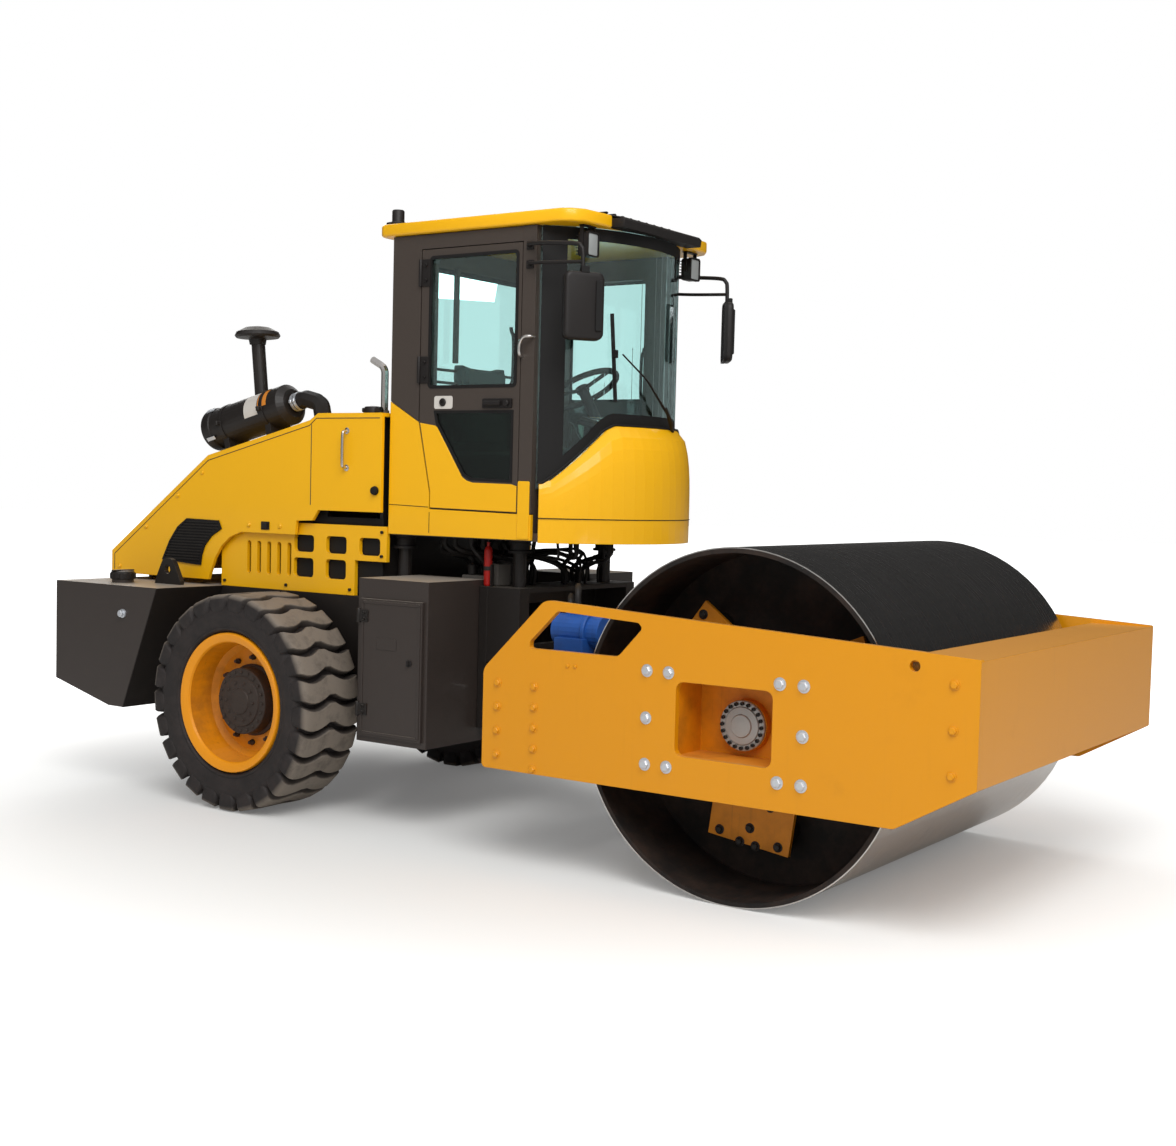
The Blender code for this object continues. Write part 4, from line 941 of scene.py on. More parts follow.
@dataclass
class RearWheel:
    """A rear wheel: its tyre with skewed lugs, its hub, its nuts and its lock ring.

    Attributes:
        side: which side it is on.
        axle: X and Z of its axle.
        half_track: middle plane to the middle of the tyre.
        lugs: lugs round the tread.
        wave: how far a lug's bends turn round the axle, in radians.
        half_width: half of a lug's width at its top.
    """

    side: Side
    axle: tuple[float, float] = (-1.471, 0.567)
    half_track: float = 0.908
    lugs: int = 25
    wave: float = 0.085
    half_width: float = 0.052

    @property
    def body(self) -> str:
        """The body that the wheel is."""
        return "wheel_" + self.side.word

    def set_out(self, form: Form) -> Form:
        """Lay a form about Z on the axle, its Z outwards from the middle of the tyre."""
        centre = (self.axle[0], self.side.value * self.half_track, self.axle[1])
        return form.moved(turn=self.side.turn).moved(centre)

    def build(self) -> None:
        """Build every piece of the wheel."""
        made = self.set_out(self.carcass() + self.tread()).piece(
            "lugged_tyre_" + self.side.word, TYRE, self.body, 50)
        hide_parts("tyre_" + self.side.word)
        self.hub()

    def carcass(self) -> Form:
        """Turn the tyre's section, without its lugs, from bead to bead."""
        half = [(0.3305, 0.1645), (0.3665, 0.1645), (0.371, 0.178), (0.380, 0.190),
                (0.384, 0.1935), (0.390, 0.1935), (0.394, 0.1905), (0.406, 0.1965),
                (0.430, 0.2045), (0.455, 0.2075), (0.478, 0.2055), (0.496, 0.199),
                (0.510, 0.188), (0.519, 0.168), (0.525, 0.120), (0.527, 0.060)]
        whole = half + [(r, -a) for r, a in reversed(half)]
        return ring(whole, 88)

    def tread(self) -> Form:
        """Make the lugs, each across the whole tread, in a frame with the axle along Z.

        Along a lug, its top runs up one shoulder, over the crown and down the other, while its
        foot stays under the carcass. At each step its section has six points, from the foot
        on one flank over two crown corners to the foot on the other. Its middle turns about
        the axle by wave times sin(pi |z| / 0.25), which gives it two gentle bends.

        Returns:
            The lugs, with marks of 1 on what touches the ground.
        """
        half = [(0.476, 0.2060, 0.1950), (0.494, 0.2105, 0.1900), (0.515, 0.2120, 0.1850),
                (0.540, 0.2095, 0.1780), (0.5560, 0.2030, 0.1700), (0.5640, 0.1880, 0.1600),
                (0.5665, 0.1600, 0.1400), (0.5670, 0.1300, 0.1250), (0.5670, 0.1000, 0.1000),
                (0.5670, 0.0700, 0.0700), (0.5670, 0.0450, 0.0450), (0.5670, 0.0200, 0.0200)]
        under = np.array([0.470, 0.482, 0.494, 0.503, 0.509, 0.513, 0.517, 0.519, 0.520, 0.521,
                          0.522, 0.522])
        radius, axial, low_axial = np.array(half).T
        top = np.stack((np.concatenate((radius, radius[::-1])),
                        np.concatenate((axial, -axial[::-1]))), -1)
        foot = np.stack((np.concatenate((under, under[::-1])),
                         np.concatenate((low_axial, -low_axial[::-1]))), -1)
        share = np.array([0.62, 0.78, 0.90, 0.98, 1.0, 1.0, 1.0, 0.98, 0.97, 0.96, 0.96, 0.96])
        wide = self.half_width * np.concatenate((share, share[::-1]))
        lower = top + (foot - top) * 0.14
        ring_of = [(foot, 1.14, 0.0), (lower, 1.04, 0.2), (top, 0.93, 1.0), (top, -0.93, 1.0),
                   (lower, -1.04, 0.2), (foot, -1.14, 0.0)]
        rows = np.zeros((len(top), len(ring_of), 3))
        marks = np.zeros((len(top), len(ring_of)))
        crown = np.clip((top[:, 0] - 0.545) / 0.018, 0, 1)
        bend = self.wave * np.sin(math.pi * np.abs(top[:, 1]) / 0.25)
        for column, (line, across, mark) in enumerate(ring_of):
            reach, height = line.T
            angle = self.side.value * bend + across * wide / reach
            rows[:, column] = np.stack((reach * np.cos(angle), reach * np.sin(angle),
                                        height), -1)
            marks[:, column] = mark * crown
        one = surface(rows)
        a = 2 * math.pi * np.arange(self.lugs)[:, None] / self.lugs
        x, y, z = one.points.T
        points = np.stack((x * np.cos(a) - y * np.sin(a), x * np.sin(a) + y * np.cos(a),
                           z + 0 * a), -1).reshape(-1, 3)
        size = len(one.points)
        faces = [tuple(i + k * size for i in face) for k in range(self.lugs)
                 for face in one.faces]
        return Form(points, faces, np.tile(marks.reshape(-1), self.lugs))

    def hub(self) -> None:
        """Add the planetary hub on the disc, its bolts, the wheel nuts and the lock ring."""
        word = self.side.word
        shell = ring([(0.1503, 0.0103), (0.190, 0.0103), (0.190, 0.020), (0.176, 0.028),
                      (0.174, 0.0840), (0.1503, 0.0840)], 48)
        cover = turned([(0.174, 0.0838), (0.174, 0.094), (0.170, 0.098), (0.134, 0.100),
                        (0.130, 0.107), (0.118, 0.110), (0.070, 0.112), (0.066, 0.118),
                        (0.050, 0.121), (0.030, 0.121)], 48)
        self.set_out(shell + cover).piece("planetary_hub_" + word, HUB_PAINT, self.body)
        centre = (self.axle[0], self.side.value * self.half_track, self.axle[1])
        small = hex_bolt(0.0085, 0.007, 0.002).moved((0.153, 0, 0.0980)).moved(
            turn=self.side.turn)
        inner = hex_bolt(0.0075, 0.006, 0.002).moved((0.098, 0, 0.1105)).moved(
            turn=self.side.turn)
        nut = turned([(0.016, 0.0), (0.016, 0.014), (0.011, 0.020), (0.010, 0.020),
                      (0.010, 0.030)], 6).moved((0.226, 0, 0.0100)).moved(turn=self.side.turn)
        bolts = small.round_axis(centre, 20) + inner.round_axis(centre, 10)
        (bolts + nut.round_axis(centre, 12)).piece("hub_bolts_" + word, HUB_PAINT, self.body)
        lock = ring([(0.3172, 0.1640), (0.3215, 0.1735), (0.3535, 0.1895), (0.3590, 0.1885),
                     (0.3606, 0.1840), (0.3606, 0.1660), (0.3640, 0.1652), (0.3640, 0.1870),
                     (0.3600, 0.1930), (0.3530, 0.1940), (0.3180, 0.1780), (0.3120, 0.1660)],
                    72)
        self.set_out(lock).piece("lock_ring_" + word, RING_ORANGE, self.body)
        valve = swept(through([(0.300, 0, 0.050), (0.292, 0, 0.075), (0.296, 0, 0.105)], 8),
                      0.005, 8)
        self.set_out(valve).piece("tyre_valve_" + word, BRASS, self.body)


# ---------------------------------------------------------------- cab

@dataclass
class CabShell:
    """The cab's skins, seals, handles, hinges, lamps, mirrors, roof and wiper.

    Attributes:
        skin: middle plane to the doors' outer face.
        glass_radius: radius of the wrapped windscreen in plan.
        glass_centre: X of its axis.
        glass_angle: half the angle it wraps.
        roof: the roof sheet's lower and upper faces.
        roof_half: half its width.
    """

    skin: float = 0.620
    glass_radius: float = 0.76569
    glass_centre: float = -0.37569
    glass_angle: float = 0.90049
    roof: tuple[float, float] = (2.985, 3.045)
    roof_half: float = 0.645

    def build(self) -> None:
        """Build every piece of the sub-assembly."""
        for side in Side:
            self.door(side)
            self.post_strip(side)
            self.mirror(side)
            self.lamp(side)
        self.screen_edge()
        self.wiper()
        self.roof_shell()

    def door(self, side: Side) -> None:
        """Add a door's lower skin, its seals, handle, lock plate and hinges."""
        body, word = "cab_door_" + side.word, side.word
        face = self.skin + 0.0003
        skin = [(-0.611, 2.036), (-0.536, 1.690), (-0.536, 1.608), (0.012, 1.600),
                (0.012, 1.727), (-0.022, 1.736)]
        skin += [(-0.262, 1.739), (-0.300, 1.748), (-0.330, 1.766), (-0.437, 1.925),
                 (-0.498, 2.014), (-0.512, 2.022)]
        low, high = sorted((side.value * face, side.value * (face + 0.0035)))
        slab(skin, low, high, Plane.XZ, 0.0012).piece("door_skin_" + word, YELLOW, body)
        upper = round_box((-0.567, -0.003), (2.208, 2.872), 0.024)
        lower = [(-0.523, 2.097), (-0.508, 2.032), (-0.436, 1.929), (-0.330, 1.774),
                 (-0.279, 1.750), (-0.018, 1.743), (-0.018, 2.097)]
        low, high = sorted((side.value * (self.skin - 0.006), side.value * (self.skin + 0.003)))
        seals = frame_of(upper, 0.016, low, high) + frame_of(lower, 0.014, low, high)
        seals.piece("door_seals_" + word, SEAL, body)
        handle = (side_brick(side, (-0.206, -0.026), (face, face + 0.010), (2.106, 2.154), 0.004)
                  + side_brick(side, (-0.190, -0.085), (face + 0.009, face + 0.026),
                               (2.118, 2.144), 0.006)
                  + turned([(0.015, 0), (0.015, 0.014), (0.012, 0.017)], 20).moved(
                      turn=side.turn).moved((-0.052, side.value * (face + 0.009), 2.130)))
        handle.piece("door_handle_" + word, TRIM, body)
        plate = slab(round_box((-0.520, -0.401), (2.105, 2.170), 0.012),
                     *sorted((side.value * face, side.value * (face + 0.004))),
                     Plane.XZ, 0.001)
        plate.piece("lock_plate_" + word, LABEL, body)
        lock = turned([(0.020, 0), (0.020, 0.006), (0.017, 0.009), (0.006, 0.009),
                       (0.006, 0.004)], 24)
        lock.moved(turn=side.turn).moved((-0.462, side.value * (face + 0.0035), 2.138)).piece(
            "door_lock_" + word, TRIM, body)
        # A dark pane in the lower window, as painted shade of the interior behind it.
        pane = slab(lower, *sorted((side.value * 0.6126, side.value * 0.6150)), Plane.XZ, 0.0004)
        pane.piece("shade_lower_pane_" + word, SHADE_GLASS, body)
        hinges = None
        for z in (2.722, 2.235):
            leaf = side_brick(side, (-0.616, -0.558), (face, face + 0.007), (z, z + 0.135), 0.002)
            pin = turned([(0.008, 0), (0.0095, 0.003), (0.0095, 0.132), (0.008, 0.135)], 12)
            pin = pin.moved((-0.6215, side.value * 0.6285, z))
            nuts = on_side(SOCKET_HEAD, side, [(-0.585, z + 0.03), (-0.585, z + 0.105)],
                           face + 0.006)
            part = leaf + pin + nuts
            hinges = part if hinges is None else hinges + part
        hinges.piece("door_hinges_" + word, TRIM, body)
        bar = through([(-0.060, side.value * 0.612, 2.20), (-0.060, side.value * 0.592, 2.22),
                       (-0.060, side.value * 0.575, 2.26), (-0.060, side.value * 0.575, 2.44),
                       (-0.060, side.value * 0.592, 2.48), (-0.060, side.value * 0.598, 2.50)],
                      24)
        swept(bar, 0.009, 10).piece("inner_door_handle_" + word, TRIM, body)

    def post_strip(self, side: Side) -> None:
        """Add the skin at the foot of the front post, the door hold and the panel's seams."""
        word = side.word
        low, high = sorted((side.value * 0.6204, side.value * 0.6250))
        strip = slab(round_box((0.020, 0.092), (1.470, 1.752), 0.008), low, high, Plane.XZ,
                     0.0015)
        strip.piece("post_foot_" + word, YELLOW, "chassis")
        y = side.value
        bar = through([(0.030, y * 0.618, 2.350), (0.030, y * 0.646, 2.366),
                       (0.034, y * 0.654, 2.410), (0.058, y * 0.654, 2.444),
                       (0.090, y * 0.646, 2.448), (0.096, y * 0.618, 2.448)], 32)
        swept(bar, 0.008, 12).piece("door_hold_" + word, CHROME, "chassis")
        seam = swept(np.array([(-0.812, y * 0.6202, 1.617), (-0.548, y * 0.6202, 1.610)]),
                     0.0018, 6)
        seam = seam + swept(np.array([(-0.541, y * 0.6202, 1.480), (-0.541, y * 0.6202, 1.585)]),
                            0.0018, 6)
        seam.piece("panel_seams_" + word, SEAL, "chassis")

    def band(self, u: np.ndarray, low: np.ndarray, high: np.ndarray) -> Form:
        """Make a thin band on the windscreen's outer face.

        A point at share u of the wrap is on the screen's arc, and the band's section is a
        rectangle 1.2 mm thick between the two heights there.

        Args:
            u: shares of the wrap, from 0 at the right post to 1 at the left.
            low: the band's lower edge at each share.
            high: its upper edge.

        Returns:
            The form.
        """
        angle = (2 * u - 1) * self.glass_angle
        rows = np.zeros((len(u), 4, 3))
        for column, (reach, height) in enumerate(((0.0018, low), (0.0018, high), (0.0006, high),
                                                  (0.0006, low))):
            radius = self.glass_radius + reach
            rows[:, column] = np.stack((self.glass_centre + radius * np.cos(angle),
                                        radius * np.sin(angle), height), -1)
        return surface(rows)

    def cowl_edge(self, u: np.ndarray) -> np.ndarray:
        """Give the height where the cowl meets the glass at shares of the wrap."""
        y = np.abs(self.glass_radius * np.sin((2 * u - 1) * self.glass_angle))
        slope = np.maximum(1.745, 2.010 - 0.265 * (y - 0.34) / 0.235)
        middle = 2.037 - 0.027 * (y - 0.29) / 0.05
        return np.where(y < 0.29, 2.037, np.where(y < 0.34, middle, slope))

    def screen_edge(self) -> None:
        """Add the black enamel band fired onto the windscreen's edges, and its seal."""
        u = np.linspace(0.012, 0.988, 61)
        top = self.roof[0] - 0.002
        edge = self.cowl_edge(u)
        band = self.band(u, edge + 0.001, edge + 0.058)
        band = band + self.band(u, np.full(61, top - 0.060), np.full(61, top))
        for ends in ((0.012, 0.100), (0.900, 0.988)):
            v = np.linspace(*ends, 9)
            band = band + self.band(v, self.cowl_edge(v) + 0.05, np.full(9, top - 0.05))
        band.piece("windscreen_band", SEAL, "chassis")
        angle = (2 * u - 1) * self.glass_angle
        radius = self.glass_radius + 0.024
        path = np.stack((self.glass_centre + radius * np.cos(angle), radius * np.sin(angle),
                         edge + 0.001), -1)
        swept(path, 0.006, 8).piece("cowl_seal", SEAL, "chassis")
        full = 0.040 + 0.075 * np.cos((2 * u - 1) * math.pi / 2)
        share = (1.575 - 1.455) / (edge - 1.455)
        fall = np.sqrt(1 - (np.maximum(share - 0.1, 0) / 0.9) ** 4)
        radius = self.glass_radius + 0.0225 + (full - 0.0225) * fall
        path = np.stack((self.glass_centre + radius * np.cos(angle), radius * np.sin(angle),
                         np.full(61, 1.575)), -1)
        swept(path, 0.0022, 6).piece("cowl_seam", SEAL, "chassis")

    def wiper(self) -> None:
        """Add the wiper: pivot, arm, and blade with its rubber."""
        def out(y: float, z: float, reach: float) -> tuple[float, float, float]:
            """Place a point at a distance off the glass, at a Y and a height."""
            radius = self.glass_radius + reach
            return (self.glass_centre + math.sqrt(radius ** 2 - y ** 2), y, z)

        pivot = turned([(0.024, 0), (0.024, 0.030), (0.018, 0.040), (0.010, 0.044)], 20)
        pivot = pivot.moved(turn=(0, math.pi / 2, 0)).moved((0.362, 0.155, 2.020))
        arm = swept(np.array([out(0.155, 2.024, 0.040), out(0.06, 2.110, 0.052),
                              out(-0.12, 2.270, 0.045), out(-0.262, 2.385, 0.028)]),
                    np.array([0.010, 0.009, 0.006, 0.005]), 8, 0.6)
        spring = swept(np.array([out(0.12, 2.055, 0.058), out(0.03, 2.137, 0.060)]), 0.006, 8)
        arm = arm + spring
        (pivot + arm).piece("wiper_arm", TRIM, "chassis")
        z = np.linspace(2.150, 2.580, 12)
        y = -0.300 + 0.03 * (2.37 - z) / 0.43
        spine = np.array([out(b, c, 0.020) for b, c in zip(y, z)])
        rubber = np.array([out(b, c, 0.009) for b, c in zip(y, z)])
        blade = swept(spine, 0.006, 8) + swept(rubber, 0.005, 6, 0.5)
        clips = brick((-0.007, -0.012, -0.020), (0.012, 0.012, 0.020), 0.003).moved(
            out(-0.2985, 2.385, 0.020))
        (blade + clips).piece("wiper_blade", SEAL, "chassis")
        post = turned([(0.010, 0), (0.010, 0.02), (0.007, 0.026)], 12)
        post.moved(turn=(0, math.pi / 2, 0)).moved((0.372, -0.10, 2.028)).piece(
            "washer_jet", TRIM, "chassis")

    def roof_shell(self) -> None:
        """Build the roof as a sheet with rounded rims, its vented middle and beacon base."""
        half = self.roof_half
        edge = [(-0.860, -half), (0.245, -half), (0.300, -0.622), (0.345, -0.560),
                (0.356, -0.420), (0.356, -0.250)]
        edge += [(x, -y) for x, y in reversed(edge)]
        edge += [(-0.885, half - 0.012), (-0.900, half - 0.045), (-0.900, 0.045 - half),
                 (-0.885, 0.012 - half)]
        sheet = slab(edge, self.roof[0] + 0.0005, self.roof[1] + 0.004, Plane.XY, 0.012, 3)
        made = sheet.piece("roof_shell", YELLOW, "chassis", 40)
        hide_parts("cab_roof")
        middle = slab([(-0.740, 3.046), (0.310, 3.046), (0.345, 2.9860), (0.428, 2.9860),
                       (0.434, 3.022), (0.420, 3.036), (0.250, 3.070), (-0.660, 3.078),
                       (-0.735, 3.070)], -0.362, 0.362, Plane.XZ, 0.006, 2)
        ribs = brick((-0.62, -0.0075, 3.070), (0.28, 0.0075, 3.082), 0.003).repeated(
            np.array([(0, y, 0) for y in np.linspace(-0.29, 0.29, 9)]))
        (middle + ribs).piece("roof_middle", TRIM, "chassis")
        stem = turned([(0.060, 3.043), (0.060, 3.062), (0.034, 3.068), (0.032, 3.074),
                       (0.032, 3.124), (0.028, 3.130), (0.018, 3.130), (0.018, 3.118)], 24)
        stem.moved((-0.855 + 0.02, -0.565, 0)).piece("beacon_socket", TRIM, "chassis")
        screws = SOCKET_HEAD.repeated(np.array([(x, y, self.roof[1] + 0.0035)
                                                for x in (-0.80, -0.25, 0.22)
                                                for y in (-0.58, 0.58)]))
        screws.piece("roof_screws", ZINC, "chassis")

    def lamp(self, side: Side) -> None:
        """Build a work lamp: bracket, finned housing, rim and frosted lens."""
        y = side.value * 0.475
        shell = slab(round_box((y - 0.046, y + 0.046), (2.836, 2.950), 0.014), 0.268, 0.318,
                     Plane.YZ, 0.006, 2)
        rim = frame_of(round_box((y - 0.049, y + 0.049), (2.833, 2.953), 0.016), 0.008, 0.312,
                       0.331, Plane.YZ)
        fins = brick((0.252, y - 0.036, 2.845), (0.272, y + 0.036, 2.849), 0.001).repeated(
            np.array([(0, 0, dz) for dz in np.linspace(0, 0.090, 7)]))
        stirrup = (brick((0.285, y - 0.052, 2.880), (0.305, y - 0.047, 2.984), 0.001)
                   + brick((0.285, y + 0.047, 2.880), (0.305, y + 0.052, 2.984), 0.001)
                   + brick((0.280, y - 0.052, 2.978), (0.310, y + 0.052, 2.9847), 0.001))
        made = (shell + rim + fins + stirrup).piece("lamp_housing_" + side.word, TRIM,
                                                    "chassis")
        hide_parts("work_lamp_" + side.word)
        lens = slab(round_box((y - 0.041, y + 0.041), (2.841, 2.945), 0.010), 0.3185, 0.3265,
                    Plane.YZ, 0.003, 2)
        lens.piece("lamp_lens_" + side.word, LAMP_FACE, "chassis")

    def mirror(self, side: Side) -> None:
        """Build a mirror: two bent arms, clamp, moulded back, rim and glass."""
        s = side.value
        root = s * 0.6203
        out = s * 0.675
        upper = through([(0.065, root, 2.885), (0.080, root + s * 0.03, 2.888),
                         (0.200, out, 2.882), (0.360, out, 2.868), (0.400, out, 2.850),
                         (0.412, out, 2.800), (0.413, out, 2.560)], 40)
        lower = through([(0.065, root, 2.795), (0.085, root + s * 0.03, 2.796),
                         (0.200, out, 2.790), (0.409, out, 2.781)], 20)
        feet = (side_brick(side, (0.045, 0.085), (0.6203, 0.628), (2.865, 2.905), 0.002)
                + side_brick(side, (0.045, 0.085), (0.6203, 0.628), (2.775, 2.815), 0.002))
        arms = swept(upper, 0.0105, 12) + swept(lower, 0.0085, 10) + feet
        arms.piece("mirror_arms_" + side.word, TRIM, "chassis")
        turn = (0, 0, s * math.radians(35))
        place = (0.420, out, 2.575)
        back = slab(round_box((-0.098, 0.098), (-0.158, 0.158), 0.034), -0.018, 0.024,
                    Plane.YZ, 0.016, 4)
        made = back.moved(turn=turn).moved(place).piece("mirror_back_" + side.word, TRIM,
                                                        "chassis", 50)
        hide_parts("mirror_" + side.word)
        rim = frame_of(round_box((-0.099, 0.099), (-0.159, 0.159), 0.035), 0.008, -0.024,
                       -0.008, Plane.YZ)
        rib = sorted((-s * 0.052, -s * 0.082))
        clamp = (brick((0.012, rib[0], -0.120), (0.032, rib[1], 0.120), 0.006)
                 + brick((-0.006, -0.020, 0.150), (0.022, 0.020, 0.185), 0.004))
        (rim + clamp).moved(turn=turn).moved(place).piece("mirror_rim_" + side.word, SEAL,
                                                          "chassis")
        glass = slab(round_box((-0.088, 0.088), (-0.148, 0.148), 0.028), -0.0205, -0.0175,
                     Plane.YZ, 0.001)
        glass.moved(turn=turn).moved(place).piece("mirror_glass_" + side.word, MIRROR,
                                                  "chassis")


@dataclass
class CabInside:
    """What is in the cab: padded seat, armrests, levers, dials, rails and the mat.

    Attributes:
        floor: height of the cab's floor.
        voxel: size of the mesh that the padding is simulated with.
        cap: how far the padding may swell.
    """

    floor: float = 1.500
    voxel: float = 0.006
    cap: float = 0.022

    def build(self) -> None:
        """Build every piece of the sub-assembly."""
        seat = slab(round_box((-0.630, -0.190), (-0.222, 0.222), 0.070), 1.790, 1.880,
                    Plane.XY, 0.030, 3)
        self.pad("padded_cushion", "seat_cushion", seat, (-0.652, -0.245, 1.7806),
                 (-0.160, 0.245, 1.925))
        back = slab([(-0.757, 1.845), (-0.672, 1.830), (-0.668, 2.000), (-0.700, 2.372),
                     (-0.757, 2.372)], -0.205, 0.205, Plane.XZ, 0.020, 3)
        self.pad("padded_back", "seat_back", back, (-0.772, -0.236, 1.815),
                 (-0.640, 0.236, 2.398))
        self.seat_frame()
        self.armrests()
        self.dials()
        self.rails()

    def pad(self, name: str, node_name: str, form: Form, low: tuple[float, float, float],
            high: tuple[float, float, float]) -> None:
        """Blow a form up as foam under its cover, inside a box, and add its piping.

        Args:
            name: the piece's name.
            node_name: the CAD node that it stands for.
            form: the slightly smaller shape that it starts from.
            low: the lowest corner of the room it may fill.
            high: the highest corner.
        """
        made = form.piece(name, VINYL, "chassis", 180)
        self.swell(made)
        count = len(made.data.vertices)
        points = np.empty(count * 3)
        made.data.vertices.foreach_get("co", points)
        shift = np.array(PIVOT)
        points = np.clip(points.reshape(-1, 3), np.array(low) + shift, np.array(high) + shift)
        made.data.vertices.foreach_set("co", points.reshape(-1))
        made.data.update()
        smooth = made.modifiers.new("smooth", "SUBSURF")
        smooth.levels = smooth.render_levels = 1
        self.apply(made, smooth)
        made.data.shade_smooth()
        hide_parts(node_name)
        self.piping(made, name)

    def apply(self, made: bpy.types.Object, modifier: bpy.types.Modifier) -> None:
        """Make a modifier's result the piece's own mesh."""
        bpy.context.view_layer.update()
        evaluated = made.evaluated_get(bpy.context.evaluated_depsgraph_get())
        mesh = bpy.data.meshes.new_from_object(evaluated)
        made.modifiers.remove(modifier)
        mesh.name = made.data.name
        made.data = mesh

    def swell(self, made: bpy.types.Object) -> None:
        """Remesh a pad and let cloth under pressure round it, no further than the cap."""
        remesh = made.modifiers.new("remesh", "REMESH")
        remesh.mode, remesh.voxel_size = "VOXEL", self.voxel
        self.apply(made, remesh)
        count = len(made.data.vertices)
        start = np.empty(count * 3)
        made.data.vertices.foreach_get("co", start)
        cloth = made.modifiers.new("cloth", "CLOTH")
        cloth.settings.use_pressure = True
        cloth.settings.uniform_pressure_force = 4.0
        cloth.settings.effector_weights.gravity = 0.0
        scene = bpy.context.scene
        cloth.point_cache.frame_start, cloth.point_cache.frame_end = 1, 20
        for number in range(1, 21):
            scene.frame_set(number)
        self.apply(made, cloth)
        end = np.empty(count * 3)
        made.data.vertices.foreach_get("co", end)
        moved = (end - start).reshape(-1, 3)
        length = np.linalg.norm(moved, axis=1)
        moved *= np.minimum(1.0, self.cap / np.maximum(length, 1e-9))[:, None]
        made.data.vertices.foreach_set("co", (start.reshape(-1, 3) + moved).reshape(-1))
        made.data.update()
        scene.frame_set(1)

    def piping(self, made: bpy.types.Object, name: str) -> None:
        """Sew a piped seam round a pad's face, where its cover's panels meet."""
        low, high = (Vector(corner) for corner in (made.bound_box[0], made.bound_box[6]))
        upright = (high.z - low.z) > (high.x - low.x)
        t = np.linspace(0, 2 * math.pi, 72, endpoint=False)
        power = 0.42
        c, s = np.cos(t), np.sin(t)
        c, s = np.sign(c) * np.abs(c) ** power, np.sign(s) * np.abs(s) ** power
        middle, half = np.array((low + high) / 2), np.array((high - low) / 2)
        if upright:
            guess = np.stack((np.full(72, middle[0] + half[0] * 0.45), middle[1] + half[1] * s,
                              middle[2] + half[2] * c), -1)
        else:
            guess = np.stack((middle[0] + half[0] * c, middle[1] + half[1] * s,
                              np.full(72, middle[2] + half[2] * 0.45)), -1)
        path = np.array([made.closest_point_on_mesh(Vector(p))[1] for p in guess])
        path = (path + np.roll(path, 1, axis=0) + np.roll(path, -1, axis=0)) / 3
        swept(path - np.array(PIVOT), 0.0035, 8, loop=True).piece(name + "_piping", VINYL,
                                                                  "chassis")

    def seat_frame(self) -> None:
        """Add the seat's sprung base, its slides and its height lever."""
        bellows = None
        for k in range(5):
            z = 1.560 + 0.036 * k
            fold = slab(round_box((-0.600 - 0.006, -0.280 + 0.006), (-0.176, 0.176), 0.03), z,
                        z + 0.026, Plane.XY, 0.008, 2)
            bellows = fold if bellows is None else bellows + fold
        bellows.piece("seat_bellows", SEAL, "chassis")
        slides = (brick((-0.62, -0.205, 1.756), (-0.20, -0.180, 1.7795), 0.003)
                  + brick((-0.62, 0.180, 1.756), (-0.20, 0.205, 1.7795), 0.003))
        lever = swept(through([(-0.30, -0.19, 1.765), (-0.30, -0.24, 1.765),
                               (-0.26, -0.262, 1.770), (-0.18, -0.264, 1.790)], 16), 0.006, 8)
        (slides + lever).piece("seat_slides", BLACK, "chassis")

    def armrests(self) -> None:
        """Add the side consoles, with the driving lever and armrest pads."""
        for side in Side:
            s = side.value
            box = side_brick(side, (-0.62, -0.12), (0.300, 0.440), (self.floor + 0.0006, 1.900),
                             0.020)
            rest = slab(round_box((-0.60, -0.30), (s * 0.370 - 0.05, s * 0.370 + 0.05), 0.03),
                        1.899, 1.945, Plane.XY, 0.018, 3)
            box.piece("side_console_" + side.word, CAB_BROWN, "chassis")
            rest.piece("armrest_" + side.word, VINYL, "chassis", 60)
            stick = swept(through([(-0.20, s * 0.370, 1.895), (-0.195, s * 0.370, 1.95),
                                   (-0.185, s * 0.365, 2.02)], 10),
                          np.linspace(0.009, 0.007, 10), 10)
            boot = turned([(0.040, 0.0), (0.036, 0.012), (0.028, 0.018), (0.026, 0.026),
                           (0.016, 0.034), (0.012, 0.046)], 20).moved(
                               (-0.20, s * 0.370, 1.8995))
            knob = turned([(0.010, 0.0), (0.021, 0.012), (0.025, 0.032), (0.022, 0.052),
                           (0.012, 0.060)], 20).moved((-0.185, s * 0.365, 2.010))
            (stick + boot + knob).piece("lever_" + side.word, TRIM, "chassis")

    def dials(self) -> None:
        """Add the slanted dash on the console, with its dials, switches and the pedals."""
        lean = (0, math.atan2(0.04, 0.14), 0)
        top = (0.130, 0, 2.047)
        dash = brick((-0.085, -0.165, -0.022), (0.095, 0.165, 0.022), 0.012).moved(turn=lean)
        dash.moved(top).piece("dash", TRIM, "chassis")
        face = turned([(0.036, 0.0210), (0.036, 0.0250), (0.032, 0.0262), (0.032, 0.0240)], 28)
        dials = face.repeated(np.array([(0.02, y, 0) for y in (-0.105, -0.02, 0.065)]))
        switches = brick((-0.006, -0.009, 0.0215), (0.018, 0.009, 0.0290), 0.002).repeated(
            np.array([(-0.055, y, 0) for y in np.linspace(-0.12, 0.12, 7)]))
        (dials + switches).moved(turn=lean).moved(top).piece("dials_and_switches", CHROME,
                                                             "chassis")
        pedals = brick((-0.045, -0.045, 0), (0.045, 0.045, 0.012), 0.004).moved(
            turn=(0, 0.7, 0)).repeated(np.array([(-0.02, -0.22, 1.545), (-0.02, 0.22, 1.545)]))
        pedals.piece("pedals", TRIM, "chassis")
        mat = slab(round_box((-0.60, 0.20), (-0.535, 0.535), 0.05), self.floor + 0.0004,
                   self.floor + 0.006, Plane.XY, 0.002)
        mat.piece("floor_mat", SEAL, "chassis")

